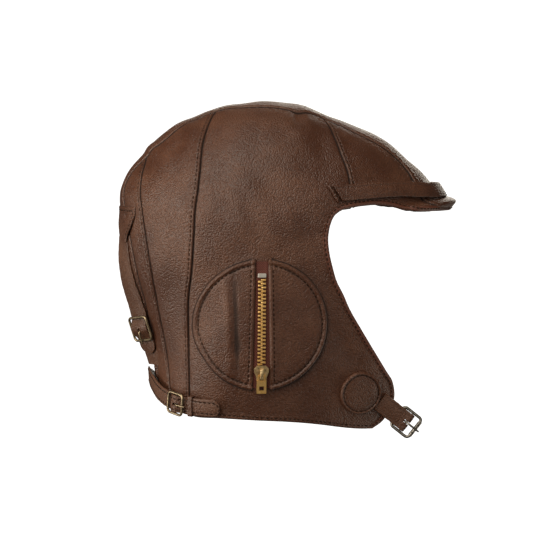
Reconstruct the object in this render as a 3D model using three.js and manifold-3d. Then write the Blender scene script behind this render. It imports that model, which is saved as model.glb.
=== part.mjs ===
// Leather flying helmet, in millimetres: +X front, +Y the wearer's left, +Z up.
// The origin is the inside top of the crown, where the helmet sits on a head.
import * as THREE from "three";
import { mergeVertices } from "three/addons/utils/BufferGeometryUtils.js";
import Module from "manifold-3d";

const wasm = await Module();
wasm.setup();

// Driving sizes of the shell
const halfWidth = 80;
const frontReach = 147.5;
const backReach = 95.5;
const crownRise = 93.6;
const flapDrop = 137;
const earAxisBack = 8;
const roundness = 2.1;
const wall = 1.6;
const gap = 0.3;
const bandHalf = 25;

// Bindings, patches and straps
const bindingWidth = 3.4;
const bindingThick = 2.8;
const patchRadius = 46;
const earHoleRadius = 33;
const patchThick = 1.5;
const tapeThick = 0.7;
const tapeHalf = 9;
const zipHalf = 5;
const strapThick = 1.6;
const browStrapWidth = 11.5;
const browStandOff = 2.6;
const browReach = 0.76;
const capRadius = 1.3;
const yokeThick = 1.5;
const goggleStrapWidth = 17;
const goggleStandOff = 5.6;
const goggleTurn = 0.22;
const goggleTongue = 19;
const goggleTabReach = 28;
const napeStrapWidth = 12;
const napeStandOff = 4.6;
const napeTongue = 33;
const napeTabReach = 24;
const keeperThick = 0.9;
const keeperHalf = 1.7;
const tabThick = 1.2;
const chinPatchRadius = 15;
const chinPatchThick = 1.9;
const chinStrapWidth = 14;
const chinStrapReach = 25.5;

// Metal fittings
const toothPairs = 18;
const toothWidth = 5.4;
const toothHeight = 1.9;
const toothShare = 0.56;
const sliderLength = 10.5;
const sliderWidth = 10;
const sliderThick = 2.6;
const bridgeWidth = 2.2;
const bridgeLength = 7;
const pullWire = 1.2;
const pullLength = 12.5;
const pullWidth = 6.6;
const chinBuckleWidth = 18.6;
const chinBuckleLength = 17.6;
const goggleBuckleLength = 19;
const napeBuckleLength = 16;
const buckleWire = 1.9;
const barRadius = 0.8;
const prongRadius = 0.65;
const cornerRadius = 2.6;
const prongTip = 1.4;
const holeWidth = 2;
const slotLength = 4.4;

const earAxis = new THREE.Vector3(-earAxisBack, 0, wall - crownRise);

// Colours and finishes
const finish = (color, roughness, metalness) => new THREE.MeshStandardMaterial({ color, roughness, metalness });
const leather = finish(0x5a3a2e, 0.5, 0);
const edgeLeather = finish(0x4a2218, 0.55, 0);
const tapeCloth = finish(0x5c1d15, 0.9, 0);
const brass = finish(0xb98a3c, 0.35, 1);
const steel = finish(0xa9a6a0, 0.35, 1);
const oldBrass = finish(0x8a7350, 0.45, 1);
const gunmetal = finish(0x4c4a46, 0.4, 1);

// Outline of the shell seen from the side, as shares of the four reaches from the ear axis.
// Below the hem it runs on as a neck column, which only sets how the flaps narrow.
const outlineRows = [
  // along, up
  [1.01, 0.237], [0.94, 0.275], [0.9, 0.335], [0.825, 0.465], [0.76, 0.555], [0.66, 0.69], [0.53, 0.79],
  [0.445, 0.845], [0.37, 0.885], [0.3, 0.935], [0.245, 0.968], [0.155, 0.988], [0.055, 0.997],
  [-0.065, 0.985], [-0.22, 0.965], [-0.34, 0.925], [-0.445, 0.878], [-0.58, 0.82], [-0.735, 0.7],
  [-0.795, 0.65], [-0.83, 0.59], [-0.935, 0.47], [-1.0, 0.325], [-1.007, 0.24], [-1.0, 0.15],
  [-0.993, 0.01], [-0.983, -0.105], [-0.935, -0.26], [-0.868, -0.386], [-0.8, -0.54],
  [-0.768, -0.64], [-0.742, -0.77], [-0.735, -0.95], [-0.7, -1.25], [-0.45, -1.58], [0, -1.68],
  [0.4, -1.5], [0.72, -1.18], [0.95, -0.75], [1.08, -0.35], [1.07, 0], [1.04, 0.13],
];

// Seams of the right side, seen from the side, from the crown band downwards.
const frontSeamRows = [
  // along, up
  [0.344, 0.82], [0.362, 0.732], [0.385, 0.6], [0.408, 0.482], [0.418, 0.393], [0.427, 0.2],
];
const sideSeamRows = [
  // along, up
  [-0.358, 0.727], [-0.408, 0.615], [-0.437, 0.476], [-0.459, 0.344], [-0.479, 0.221],
  [-0.491, 0.053], [-0.5, -0.08], [-0.508, -0.176], [-0.531, -0.33], [-0.53, -0.479],
  [-0.527, -0.623], [-0.524, -0.792], [-0.523, -0.922],
];
const rearSeamRows = [
  // along, up
  [-0.839, 0.488], [-0.864, 0.362], [-0.861, 0.214], [-0.846, 0.088], [-0.822, -0.057],
  [-0.792, -0.185], [-0.752, -0.341], [-0.71, -0.493], [-0.674, -0.639], [-0.658, -0.773],
  [-0.64, -0.879],
];

// Brow edge from the crown band back to the front seam, then the face edge down to the chin corner.
const browEdgeRows = [
  // along, up
  [0.79, 0.158], [0.745, 0.163], [0.67, 0.191], [0.617, 0.207], [0.544, 0.218], [0.427, 0.2],
];
const faceEdgeRows = [
  // along, up
  [0.427, 0.2], [0.377, 0.182], [0.34, 0.143], [0.322, 0.095], [0.311, 0.029], [0.307, -0.025],
  [0.314, -0.096], [0.328, -0.161], [0.348, -0.233], [0.382, -0.304], [0.413, -0.377],
  [0.505, -0.54], [0.605, -0.708], [0.641, -0.769], [0.652, -0.868], [0.601, -0.975], [0.545, -1.017],
];
const hemRows = [
  // along, up
  [0.545, -1.017], [0.514, -1.015], [0.281, -0.977], [0.039, -0.949], [-0.303, -0.933],
  [-0.523, -0.922],
];
const backHemRows = [
  // along, up
  [-0.64, -0.879], [-0.707, -0.832], [-0.735, -0.79],
];

// Half width of the crown band round the ear axis, from the brow over the top to the nape.
const bandRows = [
  // angle in degrees, share of bandHalf
  [6, 1.78], [12, 1.7], [18, 1.5], [25, 1.24], [35, 1.24], [45, 1.17], [54, 1.04], [60, 0.98],
  [65, 1.03], [71, 1.14], [79, 1.1], [90, 0.97], [104, 0.78], [108, 0.74], [118, 0.67],
  [127, 0.84], [134, 0.92], [141, 0.84], [145, 0.78], [153, 0.68], [160, 0.64], [169, 0.82],
  [180, 1.06], [190, 1.2], [198, 1.2], [211, 1.04], [223, 0.78], [231, 0.64], [237, 0.62],
];
const browUp = 0.16;
const frontSeamAngle = 60;
const sideSeamAngle = 108;
const rearSeamAngle = 145;
const napeAngle = 236.6;

// Dents and folds, pressed in where depth is positive; both sides have them.
const foldDepth = 2.2;
const foldRows = [
  // along, up, half length along, half length up, turn in degrees, depth share
  [0.06, 0.3, 0.3, 0.1, -42, 1.0], [0.13, 0.16, 0.28, 0.08, -48, -0.7],
  [0.2, 0.05, 0.24, 0.09, -52, 0.8], [-0.08, 0.14, 0.24, 0.09, -60, 0.6],
  [0.3, 0.62, 0.1, 0.2, 0, 0.5], [-0.3, 0.35, 0.12, 0.4, 5, 0.5],
  [-0.66, 0.2, 0.1, 0.3, 0, 0.5], [-0.64, -0.3, 0.09, 0.3, 6, 0.7],
  [-0.4, -0.6, 0.1, 0.3, 0, 0.6], [0.42, -0.62, 0.1, 0.3, 35, 0.6],
  [-0.6, 0.66, 0.1, 0.07, 40, 1.1], [0.2, 0.88, 0.07, 0.09, 0, 1.2],
];

// A point of the side view, given as shares of the reaches
function sidePoint(along, up) {
  const x = earAxis.x + along * (along > 0 ? frontReach : backReach);
  const z = earAxis.z + up * (up > 0 ? crownRise : flapDrop);
  return [x, z];
}

const turn = 2 * Math.PI;
const degrees = Math.PI / 180;
const wrap = (angle) => ((angle % turn) + turn) % turn;
const outline = outlineRows
  .map(([along, up]) => {
    const [x, z] = sidePoint(along, up);
    return [wrap(Math.atan2(z - earAxis.z, x - earAxis.x)), Math.hypot(x - earAxis.x, z - earAxis.z)];
  })
  .sort((a, b) => a[0] - b[0]);

// A smooth curve through a table of [place, value] rows
function cubic(row, place, before, after) {
  const [a, b, c, d] = row;
  const span = c[0] - b[0];
  const t = (place - b[0]) / span;
  const m1 = before ? ((c[1] - a[1]) / (c[0] - a[0])) * span : 0;
  const m2 = after ? ((d[1] - b[1]) / (d[0] - b[0])) * span : 0;
  const t2 = t * t;
  const t3 = t2 * t;
  return (2 * t3 - 3 * t2 + 1) * b[1] + (t3 - 2 * t2 + t) * m1 + (3 * t2 - 2 * t3) * c[1] + (t3 - t2) * m2;
}

// Distance from the ear axis to the outline at an angle
function reach(angle) {
  const n = outline.length;
  const place = wrap(angle);
  let i = outline.findIndex((row) => row[0] > place) - 1;
  if (i < 0) i = place < outline[0][0] ? -1 : n - 1;
  const at = (j) => [outline[(j + n) % n][0] + turn * Math.floor(j / n), outline[(j + n) % n][1]];
  return cubic([at(i - 1), at(i), at(i + 1), at(i + 2)], place, true, true);
}

// The value of a plain table at a place, with level ends
function table(rows, place) {
  if (place <= rows[0][0]) return rows[0][1];
  const last = rows.length - 1;
  if (place >= rows[last][0]) return rows[last][1];
  const i = rows.findIndex((row) => row[0] > place) - 1;
  const a = rows[Math.max(i - 1, 0)];
  const d = rows[Math.min(i + 2, last)];
  return cubic([a, rows[i], rows[i + 1], d], place, i > 0, i + 2 <= last);
}

// How far a point is pressed in by the folds
function pressed(x, z) {
  let depth = 0;
  for (const [along, up, halfAlong, halfUp, angle, share] of foldRows) {
    const [cx, cz] = sidePoint(along, up);
    const c = Math.cos(angle * degrees);
    const s = Math.sin(angle * degrees);
    const a = ((x - cx) * c + (z - cz) * s) / (halfAlong * crownRise);
    const b = ((z - cz) * c - (x - cx) * s) / (halfUp * crownRise);
    depth += share * foldDepth * Math.exp(-(a * a + b * b) * 2);
  }
  return depth;
}

// Moves any point along its line from the ear axis onto the outside of the shell
function ontoShell(point) {
  const p = point.clone().sub(earAxis);
  const out = Math.hypot(p.x, p.z) / reach(Math.atan2(p.z, p.x));
  const level = Math.pow(out, roundness) + Math.pow(Math.abs(p.y) / halfWidth, roundness);
  p.multiplyScalar(Math.pow(level, -1 / roundness));
  const length = p.length();
  const dent = pressed(p.x + earAxis.x, p.z + earAxis.z) * Math.min(1, Math.abs(p.y) / bandHalf);
  return p.multiplyScalar((length - dent) / length).add(earAxis);
}

// The point of the shell at a place of the side view; side is -1 on the right, 1 on the left
function onSide(along, up, side) {
  const [x, z] = sidePoint(along, up);
  return atPlace(x, z, side);
}

function atPlace(x, z, side) {
  const out = Math.hypot(x - earAxis.x, z - earAxis.z) / reach(Math.atan2(z - earAxis.z, x - earAxis.x));
  const y = halfWidth * Math.pow(Math.max(0, 1 - Math.pow(out, roundness)), 1 / roundness);
  return ontoShell(new THREE.Vector3(x, side * y, z));
}

// The point of the shell at a height, straight out from the middle plane towards (x, y)
function atHeight(x, y, z) {
  const p = new THREE.Vector3(x, y, z);
  for (let i = 0; i < 6; i += 1) {
    p.copy(ontoShell(p));
    const k = (z - earAxis.z) / (p.z - earAxis.z || 1);
    p.z = z;
    if (Math.abs(k - 1) < 0.0001) break;
  }
  return ontoShell(p);
}

// Outward direction of the shell at a point on it
function outward(point) {
  const step = 1;
  const from = point.clone().sub(earAxis).normalize();
  const a = new THREE.Vector3().crossVectors(from, new THREE.Vector3(0.3, 0.2, 0.93)).normalize();
  const b = new THREE.Vector3().crossVectors(from, a).normalize();
  const p1 = ontoShell(point.clone().addScaledVector(a, step));
  const p2 = ontoShell(point.clone().addScaledVector(a, -step));
  const q1 = ontoShell(point.clone().addScaledVector(b, step));
  const q2 = ontoShell(point.clone().addScaledVector(b, -step));
  const n = p1.sub(p2).cross(q1.sub(q2)).normalize();
  return n.dot(from) < 0 ? n.negate() : n;
}

// A point of the crown band's seam at an angle round the ear axis
function bandPoint(angle, side, share = 1) {
  const y = side * share * bandHalf * table(bandRows, angle);
  const out = Math.pow(1 - Math.pow(Math.abs(y) / halfWidth, roundness), 1 / roundness);
  const r = out * reach(angle * degrees);
  const x = earAxis.x + r * Math.cos(angle * degrees);
  const z = earAxis.z + r * Math.sin(angle * degrees);
  return ontoShell(new THREE.Vector3(x, y, z));
}

// The angle at which a line of the crown band passes a height over the ear axis
function angleAtRise(rise, share) {
  let angle = 7;
  for (let i = 0; i < 8; i += 1) {
    const p = bandPoint(angle, 1, share).sub(earAxis);
    angle = Math.asin(rise / Math.hypot(p.x, p.z)) / degrees;
  }
  return angle;
}

const span = (from, to, count) => Array.from({ length: count + 1 }, (_, i) => from + ((to - from) * i) / count);
const curve = (points) => {
  const c = new THREE.CatmullRomCurve3(points, false, "centripetal");
  c.arcLengthDivisions = 400;
  return c;
};
const bandSeam = (from, to, side) => curve(span(from, to, 24).map((angle) => bandPoint(angle, side)));
const sidePoints = (rows, side) => rows.map((row) => onSide(row[0], row[1], side));
const sideCurve = (rows, side, first) => curve([...(first ? [first] : []), ...sidePoints(rows, side)]);

// Solids from loose corners: every body is closed and faces out
const group = new THREE.Group();

function bodyOf(corners, faces) {
  let volume = 0;
  for (const [a, b, c] of faces) {
    volume += corners[a].dot(new THREE.Vector3().crossVectors(corners[b], corners[c]));
  }
  const geometry = new THREE.BufferGeometry();
  const flat = [];
  for (const p of corners) flat.push(p.x, p.y, p.z);
  geometry.setAttribute("position", new THREE.Float32BufferAttribute(flat, 3));
  geometry.setIndex(faces.flatMap(([a, b, c]) => (volume < 0 ? [a, c, b] : [a, b, c])));
  return geometry;
}

function add(name, geometry, material) {
  const mesh = new THREE.Mesh(geometry, material);
  mesh.name = name;
  group.add(mesh);
  return mesh;
}

function toManifold(geometry) {
  const plain = geometry.clone();
  plain.deleteAttribute("normal");
  plain.deleteAttribute("uv");
  const merged = mergeVertices(plain, 0.0001);
  return new wasm.Manifold(new wasm.Mesh({
    numProp: 3,
    vertProperties: new Float32Array(merged.attributes.position.array),
    triVerts: new Uint32Array(merged.index.array),
  }));
}

function fromManifold(solid) {
  const mesh = solid.getMesh();
  const geometry = new THREE.BufferGeometry();
  const corners = [];
  for (let i = 0; i < mesh.vertProperties.length; i += mesh.numProp) {
    corners.push(mesh.vertProperties[i], mesh.vertProperties[i + 1], mesh.vertProperties[i + 2]);
  }
  geometry.setAttribute("position", new THREE.Float32BufferAttribute(corners, 3));
  geometry.setIndex(Array.from(mesh.triVerts));
  return geometry;
}

const joined = (list) => fromManifold(list.map(toManifold).reduce((a, b) => a.add(b)));
const cut = (from, tools) => fromManifold(tools.reduce((a, b) => a.subtract(toManifold(b)), toManifold(from)));

// A sheet between an outer and an inner grid of points
function sheet(outer, inner) {
  const rows = outer.length;
  const cols = outer[0].length;
  const corners = [...outer.flat(), ...inner.flat()];
  const half = rows * cols;
  const at = (i, j) => i * cols + j;
  const faces = [];
  for (let i = 0; i < rows - 1; i += 1) {
    for (let j = 0; j < cols - 1; j += 1) {
      faces.push([at(i, j), at(i + 1, j), at(i + 1, j + 1)], [at(i, j), at(i + 1, j + 1), at(i, j + 1)]);
      faces.push([half + at(i, j), half + at(i + 1, j + 1), half + at(i + 1, j)]);
      faces.push([half + at(i, j), half + at(i, j + 1), half + at(i + 1, j + 1)]);
    }
  }
  const rim = [];
  for (let j = 0; j < cols; j += 1) rim.push(at(0, j));
  for (let i = 1; i < rows; i += 1) rim.push(at(i, cols - 1));
  for (let j = cols - 2; j >= 0; j -= 1) rim.push(at(rows - 1, j));
  for (let i = rows - 2; i > 0; i -= 1) rim.push(at(i, 0));
  rim.forEach((a, k) => {
    const b = rim[(k + 1) % rim.length];
    faces.push([a, b, half + b], [a, half + b, half + a]);
  });
  return bodyOf(corners, faces);
}

// A sheet laid on the shell: place gives a point of the shell at each u and v
function laid(place, us, vs, under, thick) {
  const outer = [];
  const inner = [];
  vs.forEach((v) => {
    const top = [];
    const bottom = [];
    us.forEach((u) => {
      const p = place(u, v);
      const n = outward(p);
      bottom.push(p.clone().addScaledVector(n, under));
      top.push(p.clone().addScaledVector(n, under + (typeof thick === "function" ? thick(u, v) : thick)));
    });
    outer.push(top);
    inner.push(bottom);
  });
  return sheet(outer, inner);
}

// A panel between four seams: a and b run down, top and bottom run from a to b
function panelPlace(a, b, top, bottom, inset) {
  const blend = (p, q, t) => p.clone().lerp(q, t);
  return (u, v) => {
    const acrossLength = Math.max(a.getPointAt(v).distanceTo(b.getPointAt(v)), 0.01);
    const downLength = Math.max(top.getPointAt(u).distanceTo(bottom.getPointAt(u)), 0.01);
    const cap = (share) => Math.min(share, 0.4);
    const u0 = cap(inset.a / acrossLength);
    const u1 = cap(inset.b / acrossLength);
    const v0 = cap(inset.top / downLength);
    const v1 = cap(inset.bottom / downLength);
    const s = u0 + (1 - u0 - u1) * u;
    const t = v0 + (1 - v0 - v1) * v;
    const sides = blend(a.getPointAt(t), b.getPointAt(t), s);
    const ends = blend(top.getPointAt(s), bottom.getPointAt(s), t);
    const upper = blend(a.getPointAt(0), b.getPointAt(0), s);
    const lower = blend(a.getPointAt(1), b.getPointAt(1), s);
    return ontoShell(sides.add(ends).sub(blend(upper, lower, t)));
  };
}

const seamInset = gap * 1.9;
const browAngle = angleAtRise(browUp * crownRise, 1);

function panel(a, b, top, bottom, inset, across, down) {
  const place = panelPlace(a, b, top, bottom, inset);
  return laid(place, span(0, 1, across), span(0, 1, down), -wall, wall);
}

// A run of closed sections joined into one bar; closed makes it a ring
function bar(sections, closed = false) {
  const sides = sections[0].length;
  const count = sections.length;
  const corners = sections.flat();
  const faces = [];
  const last = closed ? count : count - 1;
  for (let i = 0; i < last; i += 1) {
    const k = (i + 1) % count;
    for (let j = 0; j < sides; j += 1) {
      const m = (j + 1) % sides;
      const [p, q, r, s] = [i * sides + j, k * sides + j, k * sides + m, i * sides + m];
      faces.push([p, q, r], [p, r, s]);
    }
  }
  if (!closed) {
    const end = (count - 1) * sides;
    for (let j = 1; j < sides - 1; j += 1) {
      faces.push([0, j, j + 1], [end, end + j + 1, end + j]);
    }
  }
  return bodyOf(corners, faces);
}

// Sections for a strap: each row has a middle, the direction across and the direction out
const flatSection = (row, width, thick) =>
  [[-1, -1], [1, -1], [1, 1], [-1, 1]].map(([a, b]) =>
    row.middle.clone().addScaledVector(row.across, (a * width) / 2).addScaledVector(row.out, (b * thick) / 2));

const roundSection = (row, radius, sides = 6) =>
  span(0, 1 - 1 / sides, sides - 1).map((t) =>
    row.middle.clone()
      .addScaledVector(row.across, radius * Math.cos(t * turn))
      .addScaledVector(row.out, radius * Math.sin(t * turn)));

function strap(rows, width, thick) {
  return bar(rows.map((row) => flatSection(row, width, thick)));
}

// Rows for a path of points with the outward direction at each
function rowsAlong(points, outs) {
  return points.map((middle, i) => {
    const before = points[Math.max(i - 1, 0)];
    const after = points[Math.min(i + 1, points.length - 1)];
    const along = after.clone().sub(before).normalize();
    const across = new THREE.Vector3().crossVectors(outs[i], along).normalize();
    const out = new THREE.Vector3().crossVectors(along, across).normalize();
    return { middle, along, across, out };
  });
}

// Binding round the face opening, from one chin corner over the brow to the other
const bindingShape = [
  // share of bindingWidth in from the edge, share of bindingThick up from the middle of the wall
  [0.35, 0.55], [0, 0.15], [0, -0.15], [0.35, -0.55], [1, -0.5], [1, 0.5],
];
const bindingCover = bindingWidth * 0.3;
const trimShare = 1 + (1.6 * gap) / bindingWidth;
const trimShape = [
  // share of bindingWidth in from the edge, share of bindingThick up: the room that the binding takes
  [-1.5, 0.9], [-1.5, -0.9], [trimShare, -0.9], [trimShare, 0.9],
];

function bindingRows() {
  const half = (side) => [
    ...faceEdgeRows.slice(1).reverse(),
    ...browEdgeRows.slice(1).reverse(),
  ].map((row) => onSide(row[0], row[1], side));
  const brow = (share, side) => bandPoint(angleAtRise(browUp * crownRise, share), side, share);
  const middle = [brow(1, -1), brow(0.5, -1), brow(0, 1), brow(0.5, 1), brow(1, 1)];
  const edge = curve([...half(-1), ...middle, ...half(1).reverse()]);
  return span(0, 1, 58).map((t) => {
    const p = edge.getPointAt(t);
    const n = outward(p);
    const inward = new THREE.Vector3().crossVectors(n, edge.getTangentAt(t)).normalize();
    return { p: p.addScaledVector(n, -wall / 2), n, inward };
  });
}

function alongBinding(rows, shape) {
  return bar(rows.map((row) => shape.map(([across, high]) => row.p.clone()
    .addScaledVector(row.inward, across * bindingWidth)
    .addScaledVector(row.n, high * bindingThick))));
}
const edgeRows = bindingRows();
const trim = alongBinding(edgeRows, trimShape);
add("face_binding", alongBinding(edgeRows, bindingShape), edgeLeather);

// Crown band, from the brow edge over the top to the nape
function crownBand() {
  const place = (u, v) => {
    const first = angleAtRise(browUp * crownRise + bindingCover, Math.abs(u));
    const angle = first + v * (napeAngle - first);
    const half = bandHalf * table(bandRows, angle);
    return bandPoint(angle, Math.sign(u) || 1, (Math.abs(u) * (half - seamInset)) / half);
  };
  return laid(place, [-1, -0.5, 0, 0.5, 1], span(0, 1, 42), -wall, wall);
}
add("crown_band", cut(crownBand(), [trim]), leather);

// The panels of one side
const nameOf = (piece, side) => `${piece}_${side < 0 ? "right" : "left"}`;
const plainInset = { a: seamInset, b: seamInset, top: seamInset, bottom: seamInset };

function frontPanel(side) {
  const a = bandSeam(frontSeamAngle, browAngle, side);
  const b = sideCurve(frontSeamRows, side, bandPoint(frontSeamAngle, side));
  const bottom = sideCurve(browEdgeRows, side, bandPoint(browAngle, side));
  const top = curve([bandPoint(frontSeamAngle, side), b.getPointAt(0.02)]);
  return panel(a, b, top, bottom, { ...plainInset, bottom: bindingCover }, 5, 9);
}

function sidePanel(side) {
  const start = bandPoint(frontSeamAngle, side);
  const front = sideCurve([...frontSeamRows.slice(0, -1), ...faceEdgeRows], side, start);
  const back = sideCurve(sideSeamRows, side, bandPoint(sideSeamAngle, side));
  const top = bandSeam(frontSeamAngle, sideSeamAngle, side);
  const bottom = sideCurve(hemRows, side);
  return panel(front, back, top, bottom, plainInset, 8, 23);
}

function rearPanel(side) {
  const a = sideCurve(sideSeamRows, side, bandPoint(sideSeamAngle, side));
  const b = sideCurve(rearSeamRows, side, bandPoint(rearSeamAngle, side));
  const top = bandSeam(sideSeamAngle, rearSeamAngle, side);
  const bottom = sideCurve([hemRows[hemRows.length - 1], backHemRows[0]], side);
  return panel(a, b, top, bottom, plainInset, 4, 19);
}

function backPanel(side) {
  const a = sideCurve(rearSeamRows, side, bandPoint(rearSeamAngle, side));
  const b = bandSeam(rearSeamAngle, napeAngle, side);
  const top = curve([bandPoint(rearSeamAngle, side), bandPoint(rearSeamAngle + 0.5, side)]);
  const bottom = curve([...sidePoints(backHemRows.slice(0, 2), side), bandPoint(napeAngle, side)]);
  return panel(a, b, top, bottom, { ...plainInset, top: 4 }, 3, 16);
}

// Ear patch: centre of the round patch in the side view, on the line of the zip
const earCentre = [-0.012, -0.45];
const [earX, earZ] = sidePoint(earCentre[0], earCentre[1]);

function earHole(side) {
  const hole = new THREE.CylinderGeometry(earHoleRadius, earHoleRadius, halfWidth, 28);
  hole.translate(earX, side * halfWidth, earZ);
  return hole;
}

const patchLift = 0.3;
const patchUnder = gap + tapeThick + gap + patchLift;

// Thickness of the patch from the zip out to its turned rim, with the stitched groove inside the rim
const rimRows = [
  // share of the way out, share of patchThick
  [0, 1.25], [0.1, 1.0], [0.8, 1.0], [0.88, 0.7], [0.93, 1.25], [1, 1.0],
];

function earPatch(side, ahead) {
  const tip = Math.acos((zipHalf + 1.5) / patchRadius);
  const place = (u, v) => {
    const angle = tip * v;
    const rim = patchRadius * Math.cos(angle);
    const z = earZ + patchRadius * Math.sin(angle);
    return atPlace(earX + ahead * (zipHalf + (rim - zipHalf) * u), z, side);
  };
  const thick = (u) => patchThick * table(rimRows, u);
  const [middle, ridge, ...rim] = rimRows.map((row) => row[0]);
  return laid(place, [middle, ridge, 0.42, ...rim], span(-1, 1, 9), patchUnder, thick);
}

// Zip: tape, closed chain, top stop, slider and pull
const zipTop = patchRadius - 14;
const zipBottom = -patchRadius + 18.5;

function zipFrame(side, up) {
  const p = atPlace(earX, earZ + up, side);
  const n = outward(p);
  const down = atPlace(earX, earZ + up - 1, side).sub(p).normalize();
  const across = new THREE.Vector3().crossVectors(down, n).normalize();
  return { p, n, down, across: across.x < 0 ? across.negate() : across };
}

function boxAt(middle, across, down, n, sizes) {
  const [w, h, t] = sizes;
  const ring = (k) => [[-1, -1], [1, -1], [1, 1], [-1, 1]].map(([a, b]) => middle.clone()
    .addScaledVector(across, (a * w) / 2)
    .addScaledVector(n, (b * t) / 2)
    .addScaledVector(down, (k * h) / 2));
  return bar([ring(-1), ring(1)]);
}

function zipTape(side) {
  const top = patchRadius - 2;
  const place = (u, v) => atPlace(earX + u * tapeHalf, earZ + v * top, side);
  return laid(place, [-1, 0, 1], span(1, -1, 8), gap, tapeThick);
}

const teethUnder = gap + tapeThick + gap;

// Steps of one pitch of the chain: the tooth of the back half first, then the one of the front half
const toothRows = [
  // share of the pitch, back edge out, front edge out
  [0, 1, 0], [0.34, 1, 0], [0.5, 0, 1], [0.84, 0, 1],
];

function zipTeeth(side) {
  const pitch = (zipTop - zipBottom) / toothPairs;
  const edge = (out) => (toothWidth / 2) * (out ? 1 : toothShare);
  const row = (i, [share, back, front], height) => {
    const f = zipFrame(side, zipTop - pitch * (i + share));
    const base = f.p.clone().addScaledVector(f.n, height);
    return [-edge(back), edge(front)].map((sideways) => base.clone().addScaledVector(f.across, sideways));
  };
  const pairs = span(0, toothPairs - 1, toothPairs - 1);
  const grid = (height) => pairs.flatMap((i) => toothRows.map((step) => row(i, step, height)));
  return sheet(grid(teethUnder + toothHeight), grid(teethUnder));
}

function zipStop(side) {
  const f = zipFrame(side, zipTop + 2.4);
  const middle = f.p.clone().addScaledVector(f.n, teethUnder + toothHeight / 2);
  return boxAt(middle, f.across, f.down, f.n, [toothWidth * 1.05, stopLength, toothHeight]);
}

// The slider is a shield with a bridge over it, and the pull hangs from the bridge
const sliderUp = zipBottom - gap - sliderLength / 2;
const pivotHeight = pullWire / 2 + gap;
const bridgeHole = pullWire + 2 * gap;
const bridgeRoof = 0.8;
const pillar = 1.3;
const armWidth = 1.1;
const stopLength = 2.8;
const pullHole = 3;

const sliderOutline = [
  // share of half width, share of half length down
  [0.62, -1], [1, -0.62], [1, -0.2], [0.72, 0.5], [0.66, 1],
];

function zipSlider(side) {
  const f = zipFrame(side, sliderUp);
  const under = teethUnder;
  const shape = [...sliderOutline, ...sliderOutline.map(([a, b]) => [-a, b]).reverse()];
  const level = (h) => shape.map(([a, b]) => f.p.clone()
    .addScaledVector(f.across, (a * sliderWidth) / 2)
    .addScaledVector(f.down, (b * sliderLength) / 2)
    .addScaledVector(f.n, under + h));
  const plate = bar([level(0), level(sliderThick)]);
  const top = under + sliderThick;
  const at = (along, height) => f.p.clone().addScaledVector(f.down, along).addScaledVector(f.n, top + height);
  const sunk = sliderThick / 2;
  const tall = bridgeHole + bridgeRoof + sunk;
  const whole = boxAt(at(0, tall / 2 - sunk), f.across, f.down, f.n, [bridgeWidth, bridgeLength, tall]);
  const windowSizes = [bridgeWidth * 2, bridgeLength - 2 * pillar, bridgeHole];
  const window = boxAt(at(0, bridgeHole / 2), f.across, f.down, f.n, windowSizes);
  return joined([plate, cut(whole, [window])]);
}

function pullFrame(side) {
  const f = zipFrame(side, sliderUp);
  const pivot = f.p.clone()
    .addScaledVector(f.down, bridgeLength / 2 - pillar - pullWire / 2 - gap)
    .addScaledVector(f.n, teethUnder + sliderThick + pivotHeight);
  return { ...f, pivot };
}

function zipPull(side) {
  const f = pullFrame(side);
  const at = (along, sideways) => f.pivot.clone()
    .addScaledVector(f.down, along)
    .addScaledVector(f.across, sideways);
  const eyeHalf = bridgeWidth / 2 + gap * 1.3;
  const eyeEnd = pillar + pullWire / 2 + gap + armWidth;
  const bodyLength = pullLength - eyeEnd;
  const shape = (a, b, low, high) => {
    const sizes = [high - low, b - a, pullWire];
    return boxAt(at((a + b) / 2, (low + high) / 2), f.across, f.down, f.n, sizes);
  };
  const bars = [
    shape(-pullWire / 2, pullWire / 2, -eyeHalf - armWidth, eyeHalf + armWidth),
    shape(-pullWire / 2, eyeEnd + 0.2, -eyeHalf - armWidth, -eyeHalf),
    shape(-pullWire / 2, eyeEnd + 0.2, eyeHalf, eyeHalf + armWidth),
    shape(eyeEnd, eyeEnd + bodyLength, -pullWidth / 2, pullWidth / 2),
  ];
  const holeSizes = [pullWidth * 0.5, pullHole, pullWire * 3];
  const hole = boxAt(at(eyeEnd + bodyLength - pullHole * 1.2, 0), f.across, f.down, f.n, holeSizes);
  return cut(joined(bars), [hole]);
}

for (const side of [-1, 1]) {
  add(nameOf("front_panel", side), cut(frontPanel(side), [trim]), leather);
  add(nameOf("side_panel", side), cut(sidePanel(side), [earHole(side), trim]), leather);
  add(nameOf("rear_panel", side), rearPanel(side), leather);
  add(nameOf("back_panel", side), backPanel(side), leather);
  add(nameOf("ear_patch_front", side), earPatch(side, 1), leather);
  add(nameOf("ear_patch_back", side), earPatch(side, -1), leather);
  add(nameOf("zip_tape", side), zipTape(side), tapeCloth);
  add(nameOf("zip_teeth", side), zipTeeth(side), brass);
  add(nameOf("zip_stop", side), zipStop(side), steel);
  add(nameOf("zip_slider", side), zipSlider(side), steel);
  add(nameOf("zip_pull", side), zipPull(side), brass);
}

// Brow strap: stands off the forehead and is caught by a piped end on each side
const browHeights = [
  // turn from the front towards the side as a share of a quarter, share of crownRise over the ear axis
  [0, 0.3], [0.31, 0.302], [0.53, 0.322], [0.68, 0.308], [0.76, 0.298],
];
const browStrapHeight = (t) => earAxis.z + crownRise * table(browHeights, Math.abs(t));
const browLean = 0.42;

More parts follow.
